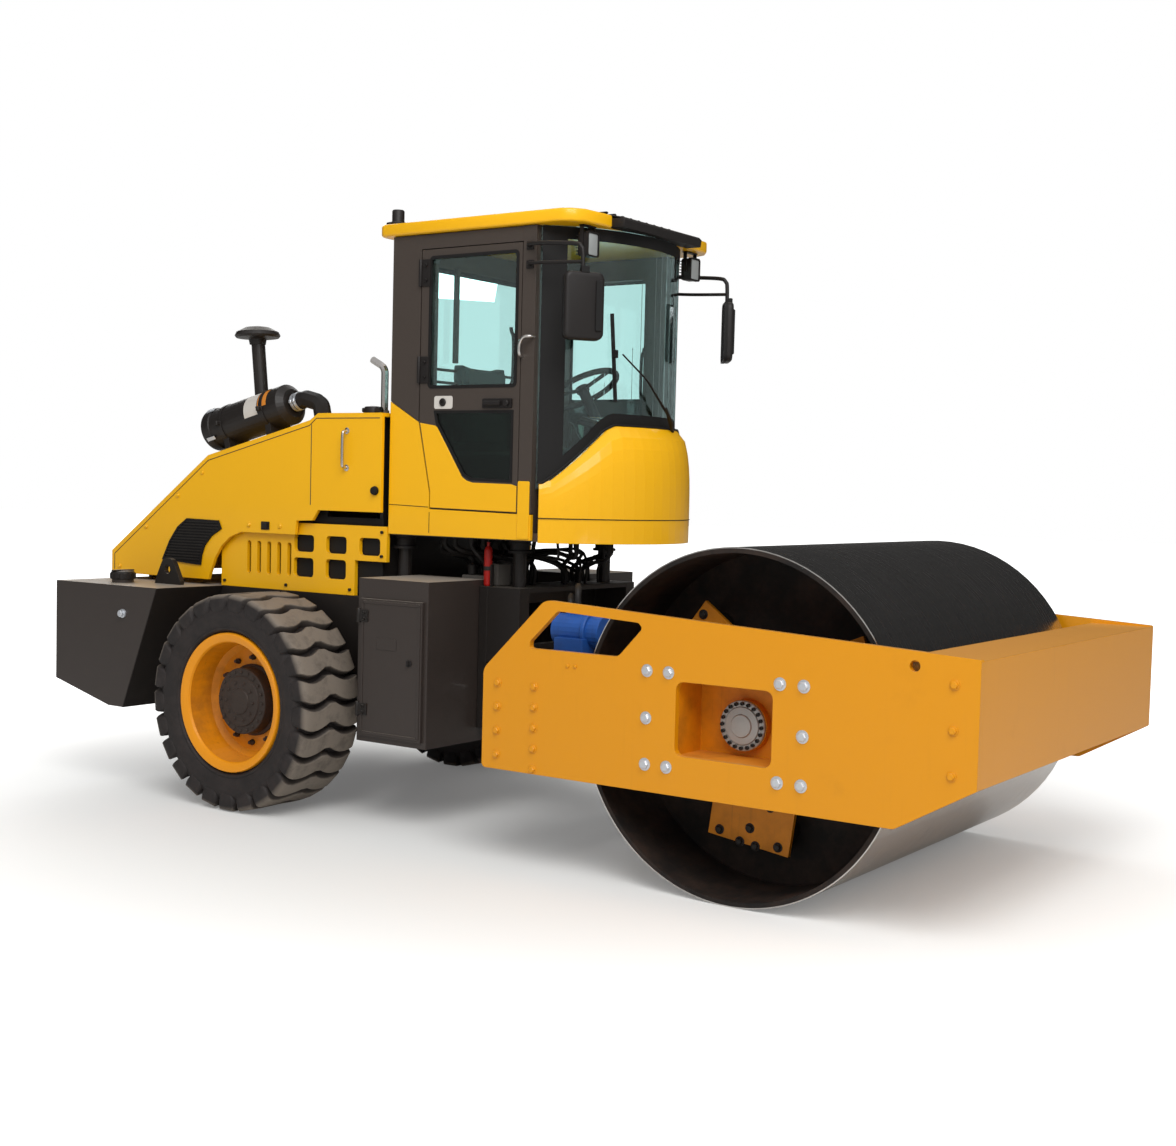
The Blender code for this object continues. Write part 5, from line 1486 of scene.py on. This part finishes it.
    def rails(self) -> None:
        """Add the rails and the upright across the rear window, and the trim."""
        bars = None
        for z in (2.330, 2.264):
            path = through([(-0.7755, -0.50, z), (-0.745, -0.49, z), (-0.735, -0.45, z),
                            (-0.735, 0.45, z), (-0.745, 0.49, z), (-0.7755, 0.50, z)], 32)
            bar = swept(path, 0.008, 10)
            bars = bar if bars is None else bars + bar
        bars = bars + brick((-0.7745, -0.177, 2.375), (-0.752, -0.153, 2.880), 0.003)
        bars.piece("rear_rails", CAB_BROWN, "chassis")
        seal = frame_of(round_box((-0.478, 0.478), (2.152, 2.868), 0.02), 0.02, -0.7765, -0.7700,
                        Plane.YZ)
        seal = seal + frame_of(round_box((-0.482, 0.482), (2.148, 2.872), 0.02), 0.024,
                               -0.8205, -0.8120, Plane.YZ)
        seal.piece("rear_window_seals", SEAL, "chassis")


# ---------------------------------------------------------------- hood

@dataclass
class Hood:
    """The hood's seams, grilles, handles and caps, and the fittings of the air cleaner.

    Attributes:
        face: middle plane to the hood's side.
        top: the hood's highest face.
        shoulder: X and Z where its slope starts.
        brow: X and Z where its slope ends.
        cleaner_y: Y of the air cleaner's axis.
        cleaner_radius: its radius.
        cleaner_height: its axis above the slope.
    """

    face: float = 0.660
    top: float = 2.087
    shoulder: tuple[float, float] = (-2.134, 1.857)
    brow: tuple[float, float] = (-1.348, 2.050)
    cleaner_y: float = -0.420
    cleaner_radius: float = 0.115
    cleaner_height: float = 0.190

    @property
    def slope(self) -> float:
        """The slope's angle."""
        return math.atan2(self.brow[1] - self.shoulder[1], self.brow[0] - self.shoulder[0])

    def build(self) -> None:
        """Build every piece of the sub-assembly."""
        for side in Side:
            self.seams(side)
            self.side_grille(side)
            self.handles(side)
        self.rear_grille()
        self.top_fittings()
        self.cleaner()

    def seams(self, side: Side) -> None:
        """Add the pressed seam inside a side's edge and the upright one."""
        y = side.value * self.face
        line = np.array([(-2.925, y, 1.180), (-2.925, y, 1.272), (-2.132, y, 1.828),
                         (-1.350, y, 2.022), (-1.300, y, 2.060), (-0.850, y, 2.060)])
        seam = swept(line, 0.0024, 6)
        seam = seam + swept(np.array([(-1.335, y, 1.600), (-1.335, y, 2.028)]), 0.0024, 6)
        seam.piece("hood_seams_" + side.word, CAB_BROWN, "hood")
        screws = on_side(hex_bolt(0.011, 0.006, 0.002), side,
                         [(-2.880, 1.200), (-2.650, 1.440), (-2.380, 1.625), (-2.180, 1.760),
                          (-1.800, 1.478), (-1.560, 1.478)], self.face)
        screws.piece("hood_screws_" + side.word, YELLOW, "hood")

    def side_grille(self, side: Side) -> None:
        """Add the louvred grille behind the wheel arch, its slats cut to its outline."""
        outline = [(-2.500, 1.256), (-2.176, 1.238), (-2.168, 1.292), (-2.145, 1.348),
                   (-2.090, 1.405), (-2.012, 1.448), (-2.035, 1.494), (-2.296, 1.498),
                   (-2.372, 1.448), (-2.438, 1.369)]
        s = side.value
        low, high = sorted((s * (self.face + 0.0004), s * (self.face + 0.0035)))
        panel = slab(outline, low, high, Plane.XZ, 0.001)
        rim = frame_of(outline, 0.012, s * (self.face + 0.0030), s * (self.face + 0.0095))
        (panel + rim).piece("side_grille_" + side.word, SEAL, "hood")
        shape = np.array(outline)
        slats = None
        for z in np.arange(1.268, 1.486, 0.0165):
            ahead = np.roll(shape, -1, axis=0)
            crosses = (shape[:, 1] <= z) != (ahead[:, 1] <= z)
            a, b = shape[crosses], ahead[crosses]
            x = np.sort(a[:, 0] + (z - a[:, 1]) / (b[:, 1] - a[:, 1]) * (b[:, 0] - a[:, 0]))
            slat = side_brick(side, (x[0] + 0.008, x[-1] - 0.008),
                              (self.face + 0.003, self.face + 0.0085), (z - 0.0045, z + 0.0035),
                              0.0012)
            slats = slat if slats is None else slats + slat
        slats.piece("side_slats_" + side.word, BLACK, "hood")

    def handles(self, side: Side) -> None:
        """Add a side's bright grab handle, its feet, and the rubber stops."""
        s = side.value
        path = through([(-1.077, s * 0.658, 1.800), (-1.077, s * 0.684, 1.806),
                        (-1.077, s * 0.694, 1.826), (-1.077, s * 0.694, 1.968),
                        (-1.077, s * 0.684, 1.988), (-1.077, s * 0.658, 1.994)], 32)
        feet = on_side(turned([(0.017, 0), (0.017, 0.003), (0.011, 0.006)], 20), side,
                       [(-1.077, 1.800), (-1.077, 1.994)], self.face)
        (swept(path, 0.0085, 12) + feet).piece("hood_handle_" + side.word, CHROME, "hood")
        stop = turned([(0.022, 0), (0.024, 0.008), (0.020, 0.020), (0.010, 0.024)], 20)
        on_side(stop, side, [(-0.872, 1.685)], self.face).piece(
            "hood_stop_" + side.word, SEAL, "hood")
        latch = (side_brick(side, (-1.700, -1.640), (self.face, self.face + 0.006),
                            (1.455, 1.500), 0.002)
                 + side_brick(side, (-1.690, -1.650), (self.face + 0.005, self.face + 0.013),
                              (1.463, 1.492), 0.003))
        latch.piece("hood_latch_" + side.word, TRIM, "hood")

    def slats_on(self, start: tuple[float, float], end: tuple[float, float], half: float,
                 count: int, name: str) -> None:
        """Add a framed bank of louvres across the hood on one of its slopes.

        Args:
            start: X and Z of the bank's lower end.
            end: X and Z of its upper end.
            half: half its width.
            count: how many louvres.
            name: the piece's name.
        """
        length = math.hypot(end[0] - start[0], end[1] - start[1])
        lean = math.atan2(end[1] - start[1], end[0] - start[0])
        backing = brick((0, -half, 0.0004), (length, half, 0.004), 0.001)
        rim = frame_of(round_box((-0.01, length + 0.01), (-half - 0.01, half + 0.01), 0.012),
                       0.018, 0.0004, 0.0085, Plane.XY)
        louvre = slab([(0, 0.003), (0.004, 0.003), (0.016, 0.010), (0.013, 0.011)],
                      -half + 0.012, half - 0.012, Plane.XZ, 0.0008)
        places = [(x, 0, 0) for x in np.linspace(0.012, length - 0.03, count)]
        bank = backing + rim + louvre.repeated(np.array(places))
        bank.moved(turn=(0, -lean, 0)).moved((start[0], 0, start[1])).piece(name, SEAL, "hood")

    def rear_grille(self) -> None:
        """Add the radiator's louvres on the rear slope and the vent on the upper one."""
        tail = (-2.950, 1.290)
        along = np.array([self.shoulder[0] - tail[0], self.shoulder[1] - tail[1]])
        self.slats_on(tuple(tail + along * 0.10), tuple(tail + along * 0.90), 0.50, 30,
                      "radiator_louvres")
        rise = np.array([self.brow[0] - self.shoulder[0], self.brow[1] - self.shoulder[1]])
        start, end = self.shoulder + rise * 0.18, self.shoulder + rise * 0.80
        self.slats_on(tuple(start), tuple(end), 0.18, 16, "engine_louvres")

    def top_fittings(self) -> None:
        """Add the coolant cap and the tail pipe's collar on the hood's top."""
        cap = turned([(0.052, 0.0003), (0.052, 0.026), (0.046, 0.036), (0.020, 0.040)], 28)
        lugs = brick((-0.012, 0.046, 0.006), (0.012, 0.060, 0.030), 0.004)
        cap = cap + lugs + lugs.moved(turn=(0, 0, 2.1)) + lugs.moved(turn=(0, 0, -2.1))
        cap.moved((-0.990, -0.555, self.top)).piece("coolant_cap", TRIM, "hood")
        collar = ring([(0.0203, 0.0003), (0.052, 0.0003), (0.052, 0.006), (0.028, 0.008),
                       (0.026, 0.030), (0.0203, 0.030)], 28)
        collar.moved((-1.100, -0.350, self.top)).piece("tail_pipe_collar", CAST_IRON, "hood")

    def on_cleaner(self, form: Form, along: float) -> Form:
        """Lay a form about Z on the air cleaner's axis, at a distance ahead of its middle.

        A form's X then points down, its Y to the left and its Z up the slope.
        """
        middle = -1.975
        rise = math.tan(self.slope)
        foot = np.array((middle, self.cleaner_y,
                         self.shoulder[1] + (middle - self.shoulder[0]) * rise))
        normal = np.array((-math.sin(self.slope), 0, math.cos(self.slope)))
        ahead = np.array((math.cos(self.slope), 0, math.sin(self.slope)))
        centre = foot + normal * self.cleaner_height + ahead * along
        return form.moved(turn=(0, math.pi / 2 - self.slope, 0)).moved(tuple(centre))

    def patch(self, start: float, end: float, low: float, high: float) -> Form:
        """Wrap a thin label round the cleaner.

        A point at angle a is at the cleaner's radius, and the section is 0.8 mm thick.

        Args:
            start: its first angle, in degrees from straight down.
            end: its last.
            low: its lower end along the axis.
            high: its upper end.

        Returns:
            The form, about the cleaner's axis.
        """
        a = np.radians(np.linspace(start, end, 13))
        r = self.cleaner_radius
        rows = np.stack([np.stack((radius * np.cos(a), radius * np.sin(a), np.full(13, z)), -1)
                         for radius, z in ((r + 0.0003, low), (r + 0.0011, low),
                                           (r + 0.0011, high), (r + 0.0003, high))], 1)
        return surface(rows)

    def cleaner(self) -> None:
        """Add the air cleaner's bands, blank labels, end cover, latches and hose clamps."""
        r = self.cleaner_radius
        band = ring([(r + 0.0003, -0.014), (r + 0.0035, -0.014), (r + 0.0035, 0.014),
                     (r + 0.0003, 0.014)], 48)
        lug = brick((-0.012, -0.016, -0.011), (0.012, 0.016, 0.011), 0.003).moved(
            (0, -r - 0.012, 0))
        bands = self.on_cleaner(band + lug, -0.170) + self.on_cleaner(band + lug, 0.170)
        bands.piece("cleaner_bands", BLACK, "hood")
        self.on_cleaner(self.patch(-150, -78, -0.045, 0.060), 0.080).piece(
            "cleaner_label", LABEL, "hood")
        self.on_cleaner(self.patch(-150, -96, 0.066, 0.135), 0.080).piece(
            "cleaner_small_label", LABEL_ORANGE, "hood")
        cover = turned([(r + 0.003, -0.3203), (r + 0.006, -0.314), (r + 0.006, -0.262),
                        (r + 0.0003, -0.256)], 48)
        knob = turned([(0.030, -0.336), (0.034, -0.330), (0.034, -0.3202)], 24)
        self.on_cleaner(cover + knob, 0.0).piece("cleaner_cover", TRIM, "hood")
        clip = brick((-0.010, -0.004, -0.032), (0.010, 0.004, 0.032), 0.003)
        clips = [self.on_cleaner(clip.moved((0, r + 0.010, 0)).moved(turn=(0, 0, turn)), -0.262)
                 for turn in (0.6, 2.2, 3.7, 5.3)]
        (clips[0] + clips[1] + clips[2] + clips[3]).piece("cleaner_clips", ZINC, "hood")
        valve = swept(np.array([(0, 0, 0), (0.028, 0, 0), (0.055, 0, 0)]),
                      np.array([0.030, 0.028, 0.016]), 16)
        self.on_cleaner(valve.moved((r + 0.001, 0, 0)), -0.225).piece("dust_valve", SEAL, "hood")
        hose = ring([(0.0483, -0.009), (0.0515, -0.009), (0.0515, 0.009), (0.0483, 0.009)], 32)
        worm = brick((-0.009, -0.060, -0.008), (0.009, -0.050, 0.008), 0.002)
        clamp = hose + worm
        clamps = self.on_cleaner(clamp, 0.345) + self.on_cleaner(clamp, 0.370)
        foot = np.array((-1.470, self.cleaner_y, self.shoulder[1]
                         + (-1.470 - self.shoulder[0]) * math.tan(self.slope)))
        clamps = clamps + clamp.moved((0, 0, 0.022)).moved(turn=(0, -self.slope, 0)).moved(
            tuple(foot))
        clamps.piece("hose_clamps", ZINC, "hood")


# ---------------------------------------------------------------- rear frame and its boxes

@dataclass
class RearFrame:
    """The fittings of the rear box, tool boxes, panels, and what hangs under the cab.

    Attributes:
        box_face: middle plane to the rear box's side.
        box_rear: X of its rear face.
        box_top: height of its top. It is not used.
        toolbox_face: middle plane to a tool box door's face.
    """

    box_face: float = 1.100
    box_rear: float = -2.880
    box_top: float = 1.130
    toolbox_face: float = 0.920

    def build(self) -> None:
        """Build every piece of the sub-assembly."""
        for side in Side:
            self.box_fittings(side)
            self.toolbox(side)
            self.backing(side)
        self.filler()
        self.valve_block()
        self.hoses()

    def box_fittings(self, side: Side) -> None:
        """Add the drain knob, the tail lamp, the lifting lug, and a black sheet on the front face
        as painted shade.
        """
        s, word = side.value, side.word
        knob = turned([(0.024, 0), (0.024, 0.008), (0.016, 0.010), (0.019, 0.024),
                       (0.014, 0.028)], 20)
        on_side(knob, side, [(-2.304, 0.978)], self.box_face).piece("drain_knob_" + word, ZINC,
                                                                    "chassis")
        y = s * 0.900
        shell = slab(round_box((y - 0.085, y + 0.085), (0.940, 1.040), 0.016),
                     self.box_rear - 0.030, self.box_rear - 0.0003, Plane.YZ, 0.006, 2)
        shell.piece("tail_lamp_" + word, TRIM, "chassis")
        red = slab(round_box((y - 0.078, y + 0.020), (0.947, 1.033), 0.012),
                   self.box_rear - 0.036, self.box_rear - 0.0295, Plane.YZ, 0.003, 2)
        red.piece("tail_lens_" + word, RED, "chassis")
        amber = slab(round_box((y + 0.026, y + 0.078), (0.947, 1.033), 0.012),
                     self.box_rear - 0.036, self.box_rear - 0.0295, Plane.YZ, 0.003, 2)
        amber.piece("turn_lens_" + word, ORANGE, "chassis")
        lug = [(-2.390, 1.1305), (-2.161, 1.1305), (-2.224, 1.245), (-2.242, 1.268),
               (-2.262, 1.2745), (-2.298, 1.2745), (-2.318, 1.268), (-2.332, 1.245)]
        low, high = sorted((s * 0.7885, s * 0.8165))
        holed(lug, (-2.280, 1.212), 0.0235, low, high).piece("lifting_lug_" + word, BLACK,
                                                             "chassis")
        # A thin black sheet on the slanted front face: painted shade, for the shadow that face is
        # in.
        foot, top = np.array((-2.305, 0.462)), np.array((-2.037, 1.130))
        out = np.array((0.9281, -0.3724))
        strip = [tuple(foot + out * 0.0004), tuple(foot + out * 0.004),
                 tuple(top + out * 0.004), tuple(top + out * 0.0004)]
        low, high = sorted((s * 0.633, s * 1.0995))
        slab(strip, low, high, Plane.XZ, 0.0004).piece("box_front_shade_" + word, BLACK, "chassis")

    def filler(self) -> None:
        """Add the tank's screw cap on the filler neck, with its grips and its hasp."""
        cap = turned([(0.0665, 1.150), (0.0665, 1.186), (0.060, 1.194), (0.022, 1.197)], 32)
        cap = cap.moved((0, 0, 0))
        grips = brick((0.064, -0.006, 1.153), (0.071, 0.006, 1.184), 0.002)
        turns = [grips.moved(turn=(0, 0, 2 * math.pi * k / 12)) for k in range(12)]
        for grip in turns:
            cap = cap + grip
        hasp = brick((-0.014, -0.070, 1.194), (0.014, 0.070, 1.202), 0.003)
        (cap + hasp).moved((0.35 + self.box_rear, -0.92, 0)).piece("filler_cap", BLACK,
                                                                   "chassis")

    def toolbox(self, side: Side) -> None:
        """Add a tool box's door rim, hinges, lock and blank plate."""
        body, word = "toolbox_door_" + side.word, side.word
        face = self.toolbox_face
        s = side.value
        fold = frame_of(round_box((-0.712, -0.327), (0.472, 1.140), 0.010), 0.014,
                        s * (face - 0.010), s * (face + 0.0030))
        fold.piece("toolbox_rim_" + word, CHARCOAL, body)
        hinges = None
        for z in (0.596, 1.064):
            knuckle = turned([(0.008, -0.036), (0.010, -0.033), (0.010, 0.033),
                              (0.008, 0.036)], 14).moved((-0.728, s * 0.925, z))
            leaf = side_brick(side, (-0.726, -0.668), (face, face + 0.006),
                              (z - 0.030, z + 0.030), 0.0015)
            nuts = on_side(SOCKET_HEAD, side, [(-0.690, z - 0.015), (-0.690, z + 0.015)],
                           face + 0.0055)
            part = knuckle + leaf + nuts
            hinges = part if hinges is None else hinges + part
        hinges.piece("toolbox_hinges_" + word, BLACK, body)
        lock = turned([(0.018, 0), (0.018, 0.003), (0.012, 0.005), (0.012, 0.009),
                       (0.009, 0.010)], 20)
        pull = side_brick(side, (-0.402, -0.390), (face + 0.008, face + 0.016), (0.832, 0.862),
                          0.002)
        (on_side(lock, side, [(-0.396, 0.847)], face) + pull).piece("toolbox_lock_" + word, TRIM,
                                                                    body)
        plate = slab(round_box((-0.610, -0.480), (0.900, 0.960), 0.008),
                     *sorted((s * (face + 0.0003), s * (face + 0.0018))), Plane.XZ, 0.0005)
        plate.piece("toolbox_plate_" + word, CHARCOAL, body)

    def backing(self, side: Side) -> None:
        """Add the dark sheet behind a lower panel, and its studs."""
        sheet = [(-2.040, 1.140), (-0.870, 1.140), (-0.870, 1.540), (-1.270, 1.540),
                 (-1.270, 1.600), (-1.470, 1.600), (-1.470, 1.490), (-2.040, 1.490)]
        low, high = sorted((side.value * 0.584, side.value * 0.597))
        slab(sheet, low, high, Plane.XZ, 0.001).piece("panel_backing_" + side.word, SEAL,
                                                      "chassis")
        studs = on_side(SOCKET_HEAD, side, [(-2.020, 1.160), (-1.540, 1.160), (-1.070, 1.160),
                                            (-2.020, 1.415), (-0.850, 1.345),
                                            (-0.850, 1.470)], 0.6248)
        studs.piece("panel_studs_" + side.word, BLACK, "chassis")

    def valve_block(self) -> None:
        """Add the valve block, its solenoids and the accumulator on the frame's nose."""
        block = (brick((-0.480, -0.420, 1.1270), (-0.300, -0.240, 1.265), 0.004)
                 + brick((-0.300, -0.430, 1.2200), (-0.236, -0.330, 1.330), 0.004))
        block.piece("valve_block", CAST_IRON, "chassis")
        coil = turned([(0.020, 0), (0.024, 0.004), (0.024, 0.050), (0.018, 0.054),
                       (0.010, 0.066)], 16)
        coils = coil.repeated(np.array([(x, y, 1.2645) for x in (-0.440, -0.340)
                                        for y in (-0.385, -0.285)]))
        coils.piece("solenoids", TRIM, "chassis")
        flask = turned([(0.010, 1.2185), (0.018, 1.2200), (0.021, 1.228), (0.021, 1.395),
                        (0.017, 1.412), (0.008, 1.420), (0.008, 1.440)], 20)
        flask.moved((-0.260, -0.485, 0.0020)).piece("accumulator", RED, "chassis")
        strap = ring([(0.0213, 1.300), (0.0240, 1.300), (0.0240, 1.320), (0.0213, 1.320)], 20)
        bar = brick((-0.2375, -0.497, 1.2200), (-0.2300, -0.473, 1.330), 0.001)
        (strap.moved((-0.260, -0.485, 0)) + bar).piece("accumulator_strap", BLACK, "chassis")

    def hoses(self) -> None:
        """Add the hoses and wires that run from the nose up to the cab's floor."""
        ends = [(-0.455, -0.300, -0.600, 0.05, 0.0125), (-0.415, -0.330, -0.560, 0.02, 0.0125),
                (-0.375, -0.300, -0.520, -0.03, 0.0110), (-0.340, -0.345, -0.480, 0.06, 0.0125),
                (-0.320, -0.300, -0.430, 0.00, 0.0095), (-0.330, -0.375, -0.350, -0.10, 0.0095)]
        for number, (x, y, x2, lean, radius) in enumerate(ends):
            side = -1 if number % 2 else 1
            path = through([(x, y, 1.262 if x < -0.30 else 1.34), (x, y - 0.01, 1.295),
                            (x - 0.03, y - 0.05 * side, 1.345 + lean * 0.3),
                            (x2 + 0.04, y + 0.10 * side, 1.375 + lean * 0.2),
                            (x2, y + 0.13 * side, 1.415), (x2, y + 0.13 * side, 1.4605)], 36)
            swept(path, radius, 12).piece(f"cab_hose_{number + 1}", HOSE, "chassis")
        draw = np.random.default_rng(7)
        bundle = None
        for _ in range(20):
            x, y = draw.uniform(-0.26, -0.06), draw.uniform(-0.40, 0.40)
            x2, y2 = draw.uniform(-0.68, 0.16), np.clip(y + draw.uniform(-0.2, 0.2), -0.5, 0.5)
            dip = draw.uniform(0.01, 0.09)
            path = through([(x, y, 1.2180), (x, y, 1.262 + dip), (0.65 * x + 0.35 * x2,
                            0.7 * y + 0.3 * y2 + dip, 1.310 + dip), (x2, y2, 1.372),
                            (x2, y2, 1.4604)], 28)
            line = swept(path, draw.choice([0.007, 0.009, 0.0115]), 8)
            bundle = line if bundle is None else bundle + line
        bundle.piece("hose_bundle", HOSE, "chassis")
        mount = turned([(0.062, 0), (0.062, 0.012), (0.050, 0.016), (0.050, 0.052),
                        (0.058, 0.060), (0.058, 0.070)], 24)
        places = [(-0.14, y, 1.389) for y in (-0.38, 0.38)]
        places += [(-0.80, y, 1.389) for y in (-0.50, 0.50)]
        mount.repeated(np.array(places)).piece("cab_mounts", HOSE, "chassis")
        wires = None
        for k, (y, z) in enumerate(((-0.30, 1.40), (-0.28, 1.37), (0.25, 1.38))):
            path = through([(-0.72, y, 1.4603), (-0.70, y + 0.01, z), (-0.60, y + 0.03, z - 0.04),
                            (-0.52, y + 0.02, z - 0.12), (-0.50, y, 1.19),
                            (-0.50, y - 0.01, 1.1275)], 30)
            wire = swept(path, 0.006 + 0.002 * k, 8)
            wires = wire if wires is None else wires + wire
        wires.piece("wiring", SEAL, "chassis")


# ---------------------------------------------------------------- studio

@dataclass(frozen=True)
class Camera:
    """The camera, as measured from the steering pivot.

    Attributes:
        place: where it stands.
        yaw: degrees from +X to the left.
        pitch: degrees downwards.
        roll: degrees clockwise.
        lens: focal length in mm on a 36 mm wide sensor.
    """

    place: tuple[float, float, float] = (4.717, -6.808, 1.728)
    yaw: float = 124.61
    pitch: float = 3.06
    roll: float = 1.46
    lens: float = 48.76

    def build(self) -> None:
        """Add the camera and make it the scene's."""
        yaw, pitch, roll = (math.radians(a) for a in (self.yaw, self.pitch, self.roll))
        ahead = Vector((math.cos(yaw) * math.cos(pitch), math.sin(yaw) * math.cos(pitch),
                        -math.sin(pitch)))
        right = Vector((math.sin(yaw), -math.cos(yaw), 0))
        up = right.cross(ahead)
        turned_right = math.cos(roll) * right + math.sin(roll) * up
        turned_up = math.cos(roll) * up - math.sin(roll) * right
        data = bpy.data.cameras.new("camera")
        data.lens = self.lens
        camera = bpy.data.objects.new("camera", data)
        turn = Matrix((turned_right, turned_up, -ahead)).transposed().to_4x4()
        camera.matrix_world = Matrix.Translation(Vector(self.place) + PIVOT) @ turn
        bpy.context.scene.collection.objects.link(camera)
        bpy.context.scene.camera = camera


@dataclass(frozen=True)
class Studio:
    """A plain pale floor and soft lamps.

    Attributes:
        floor_half: half the floor's side.
        pale: the floor's colour.
    """

    floor_half: float = 60.0
    pale: str = "#E4E4E2"

    def floor(self) -> None:
        """Add the matt floor."""
        half = self.floor_half
        mesh = bpy.data.meshes.new("floor")
        mesh.from_pydata([(-half, -half, 0), (half, -half, 0), (half, half, 0), (-half, half, 0)],
                         [], [(0, 1, 2, 3)])
        floor = bpy.data.objects.new("floor", mesh)
        bpy.context.scene.collection.objects.link(floor)
        material, tree, shader, place = blank("matt_floor")
        shader.inputs["Base Color"].default_value = linear(self.pale)
        shader.inputs["Roughness"].default_value = 0.9
        reach = node(tree, "VectorMath", {"operation": "LENGTH"}, i0=place).outputs["Value"]
        rays = node(tree, "LightPath").outputs
        seen = node(tree, "Math", {"operation": "MAXIMUM"}, i0=rays["Is Camera Ray"],
                    i1=rays["Is Transmission Ray"])
        glow = node(tree, "Math", {"operation": "MULTIPLY"}, i0=seen.outputs[0],
                    i1=span(tree, reach, 1.5, 7.0, 0.12, 1.0))
        shader.inputs["Emission Color"].default_value = linear("#FFFFFF")
        tree.links.new(glow.outputs[0], shader.inputs["Emission Strength"])
        mesh.materials.append(material)

    def world(self) -> None:
        """Light from all round: white to the camera and through glass, softer on the object.

        Shiny metal sees a bright ceiling that leans to the machine's right front, a plain
        wall below it, and the dark end of the studio behind the machine.
        """
        world = bpy.data.worlds.new("studio")
        bpy.context.scene.world = world
        world.use_nodes = True
        tree = world.node_tree
        tree.nodes.clear()
        rays = node(tree, "LightPath").outputs
        way = node(tree, "TexCoord").outputs["Generated"]
        dome = node(tree, "VectorMath", {"operation": "DOT_PRODUCT"}, i0=way,
                    i1=(0.214, -0.307, 0.927)).outputs["Value"]
        near = node(tree, "VectorMath", {"operation": "DOT_PRODUCT"}, i0=way,
                    i1=(0.570, -0.820, 0.0)).outputs["Value"]
        sky = node(tree, "Math", {"operation": "MAXIMUM"},
                   i0=span(tree, dome, 0.30, 0.97, 0.02, 1.0),
                   i1=span(tree, near, 0.0, 0.5, 0.02, 0.40)).outputs[0]
        seen = node(tree, "Math", {"operation": "MAXIMUM"}, i0=rays["Is Camera Ray"],
                    i1=rays["Is Transmission Ray"])
        gloss = node(tree, "Mix", i0=rays["Is Glossy Ray"], i2=0.55, i3=sky)
        strength = node(tree, "Mix", i0=seen.outputs[0], i2=gloss.outputs[0], i3=1.0)
        back = node(tree, "Background", Color=linear("#FFFFFF"), Strength=strength.outputs[0])
        node(tree, "OutputWorld", Surface=back.outputs[0])

    def lamps(self) -> None:
        """Add a large key lamp from the front right and a weak one from behind."""
        for name, place, size, power in (("key", (5.0, -6.0, 8.0), 6.0, 700.0),
                                         ("back", (-7.0, 5.0, 6.0), 5.0, 250.0)):
            data = bpy.data.lights.new(name, "AREA")
            data.size, data.energy = size, power
            lamp = bpy.data.objects.new(name, data)
            lamp.location = place
            aim = Vector((0, 0, 1)) - Vector(place)
            lamp.rotation_euler = aim.to_track_quat("-Z", "Y").to_euler()
            bpy.context.scene.collection.objects.link(lamp)

    def build(self) -> None:
        """Add floor, world and lamps, and set plain colour handling."""
        self.floor()
        self.world()
        self.lamps()
        bpy.context.scene.view_settings.view_transform = "Standard"


def main() -> None:
    """Build the camera, the studio and the machine's looks."""
    logging.basicConfig(level=logging.INFO, format="%(message)s")
    Camera().build()
    Studio().build()
    dress_cad()
    DrumFrame().build()
    for side in Side:
        RearWheel(side).build()
    CabShell().build()
    CabInside().build()
    Hood().build()
    RearFrame().build()


if __name__ == "__main__":
    main()
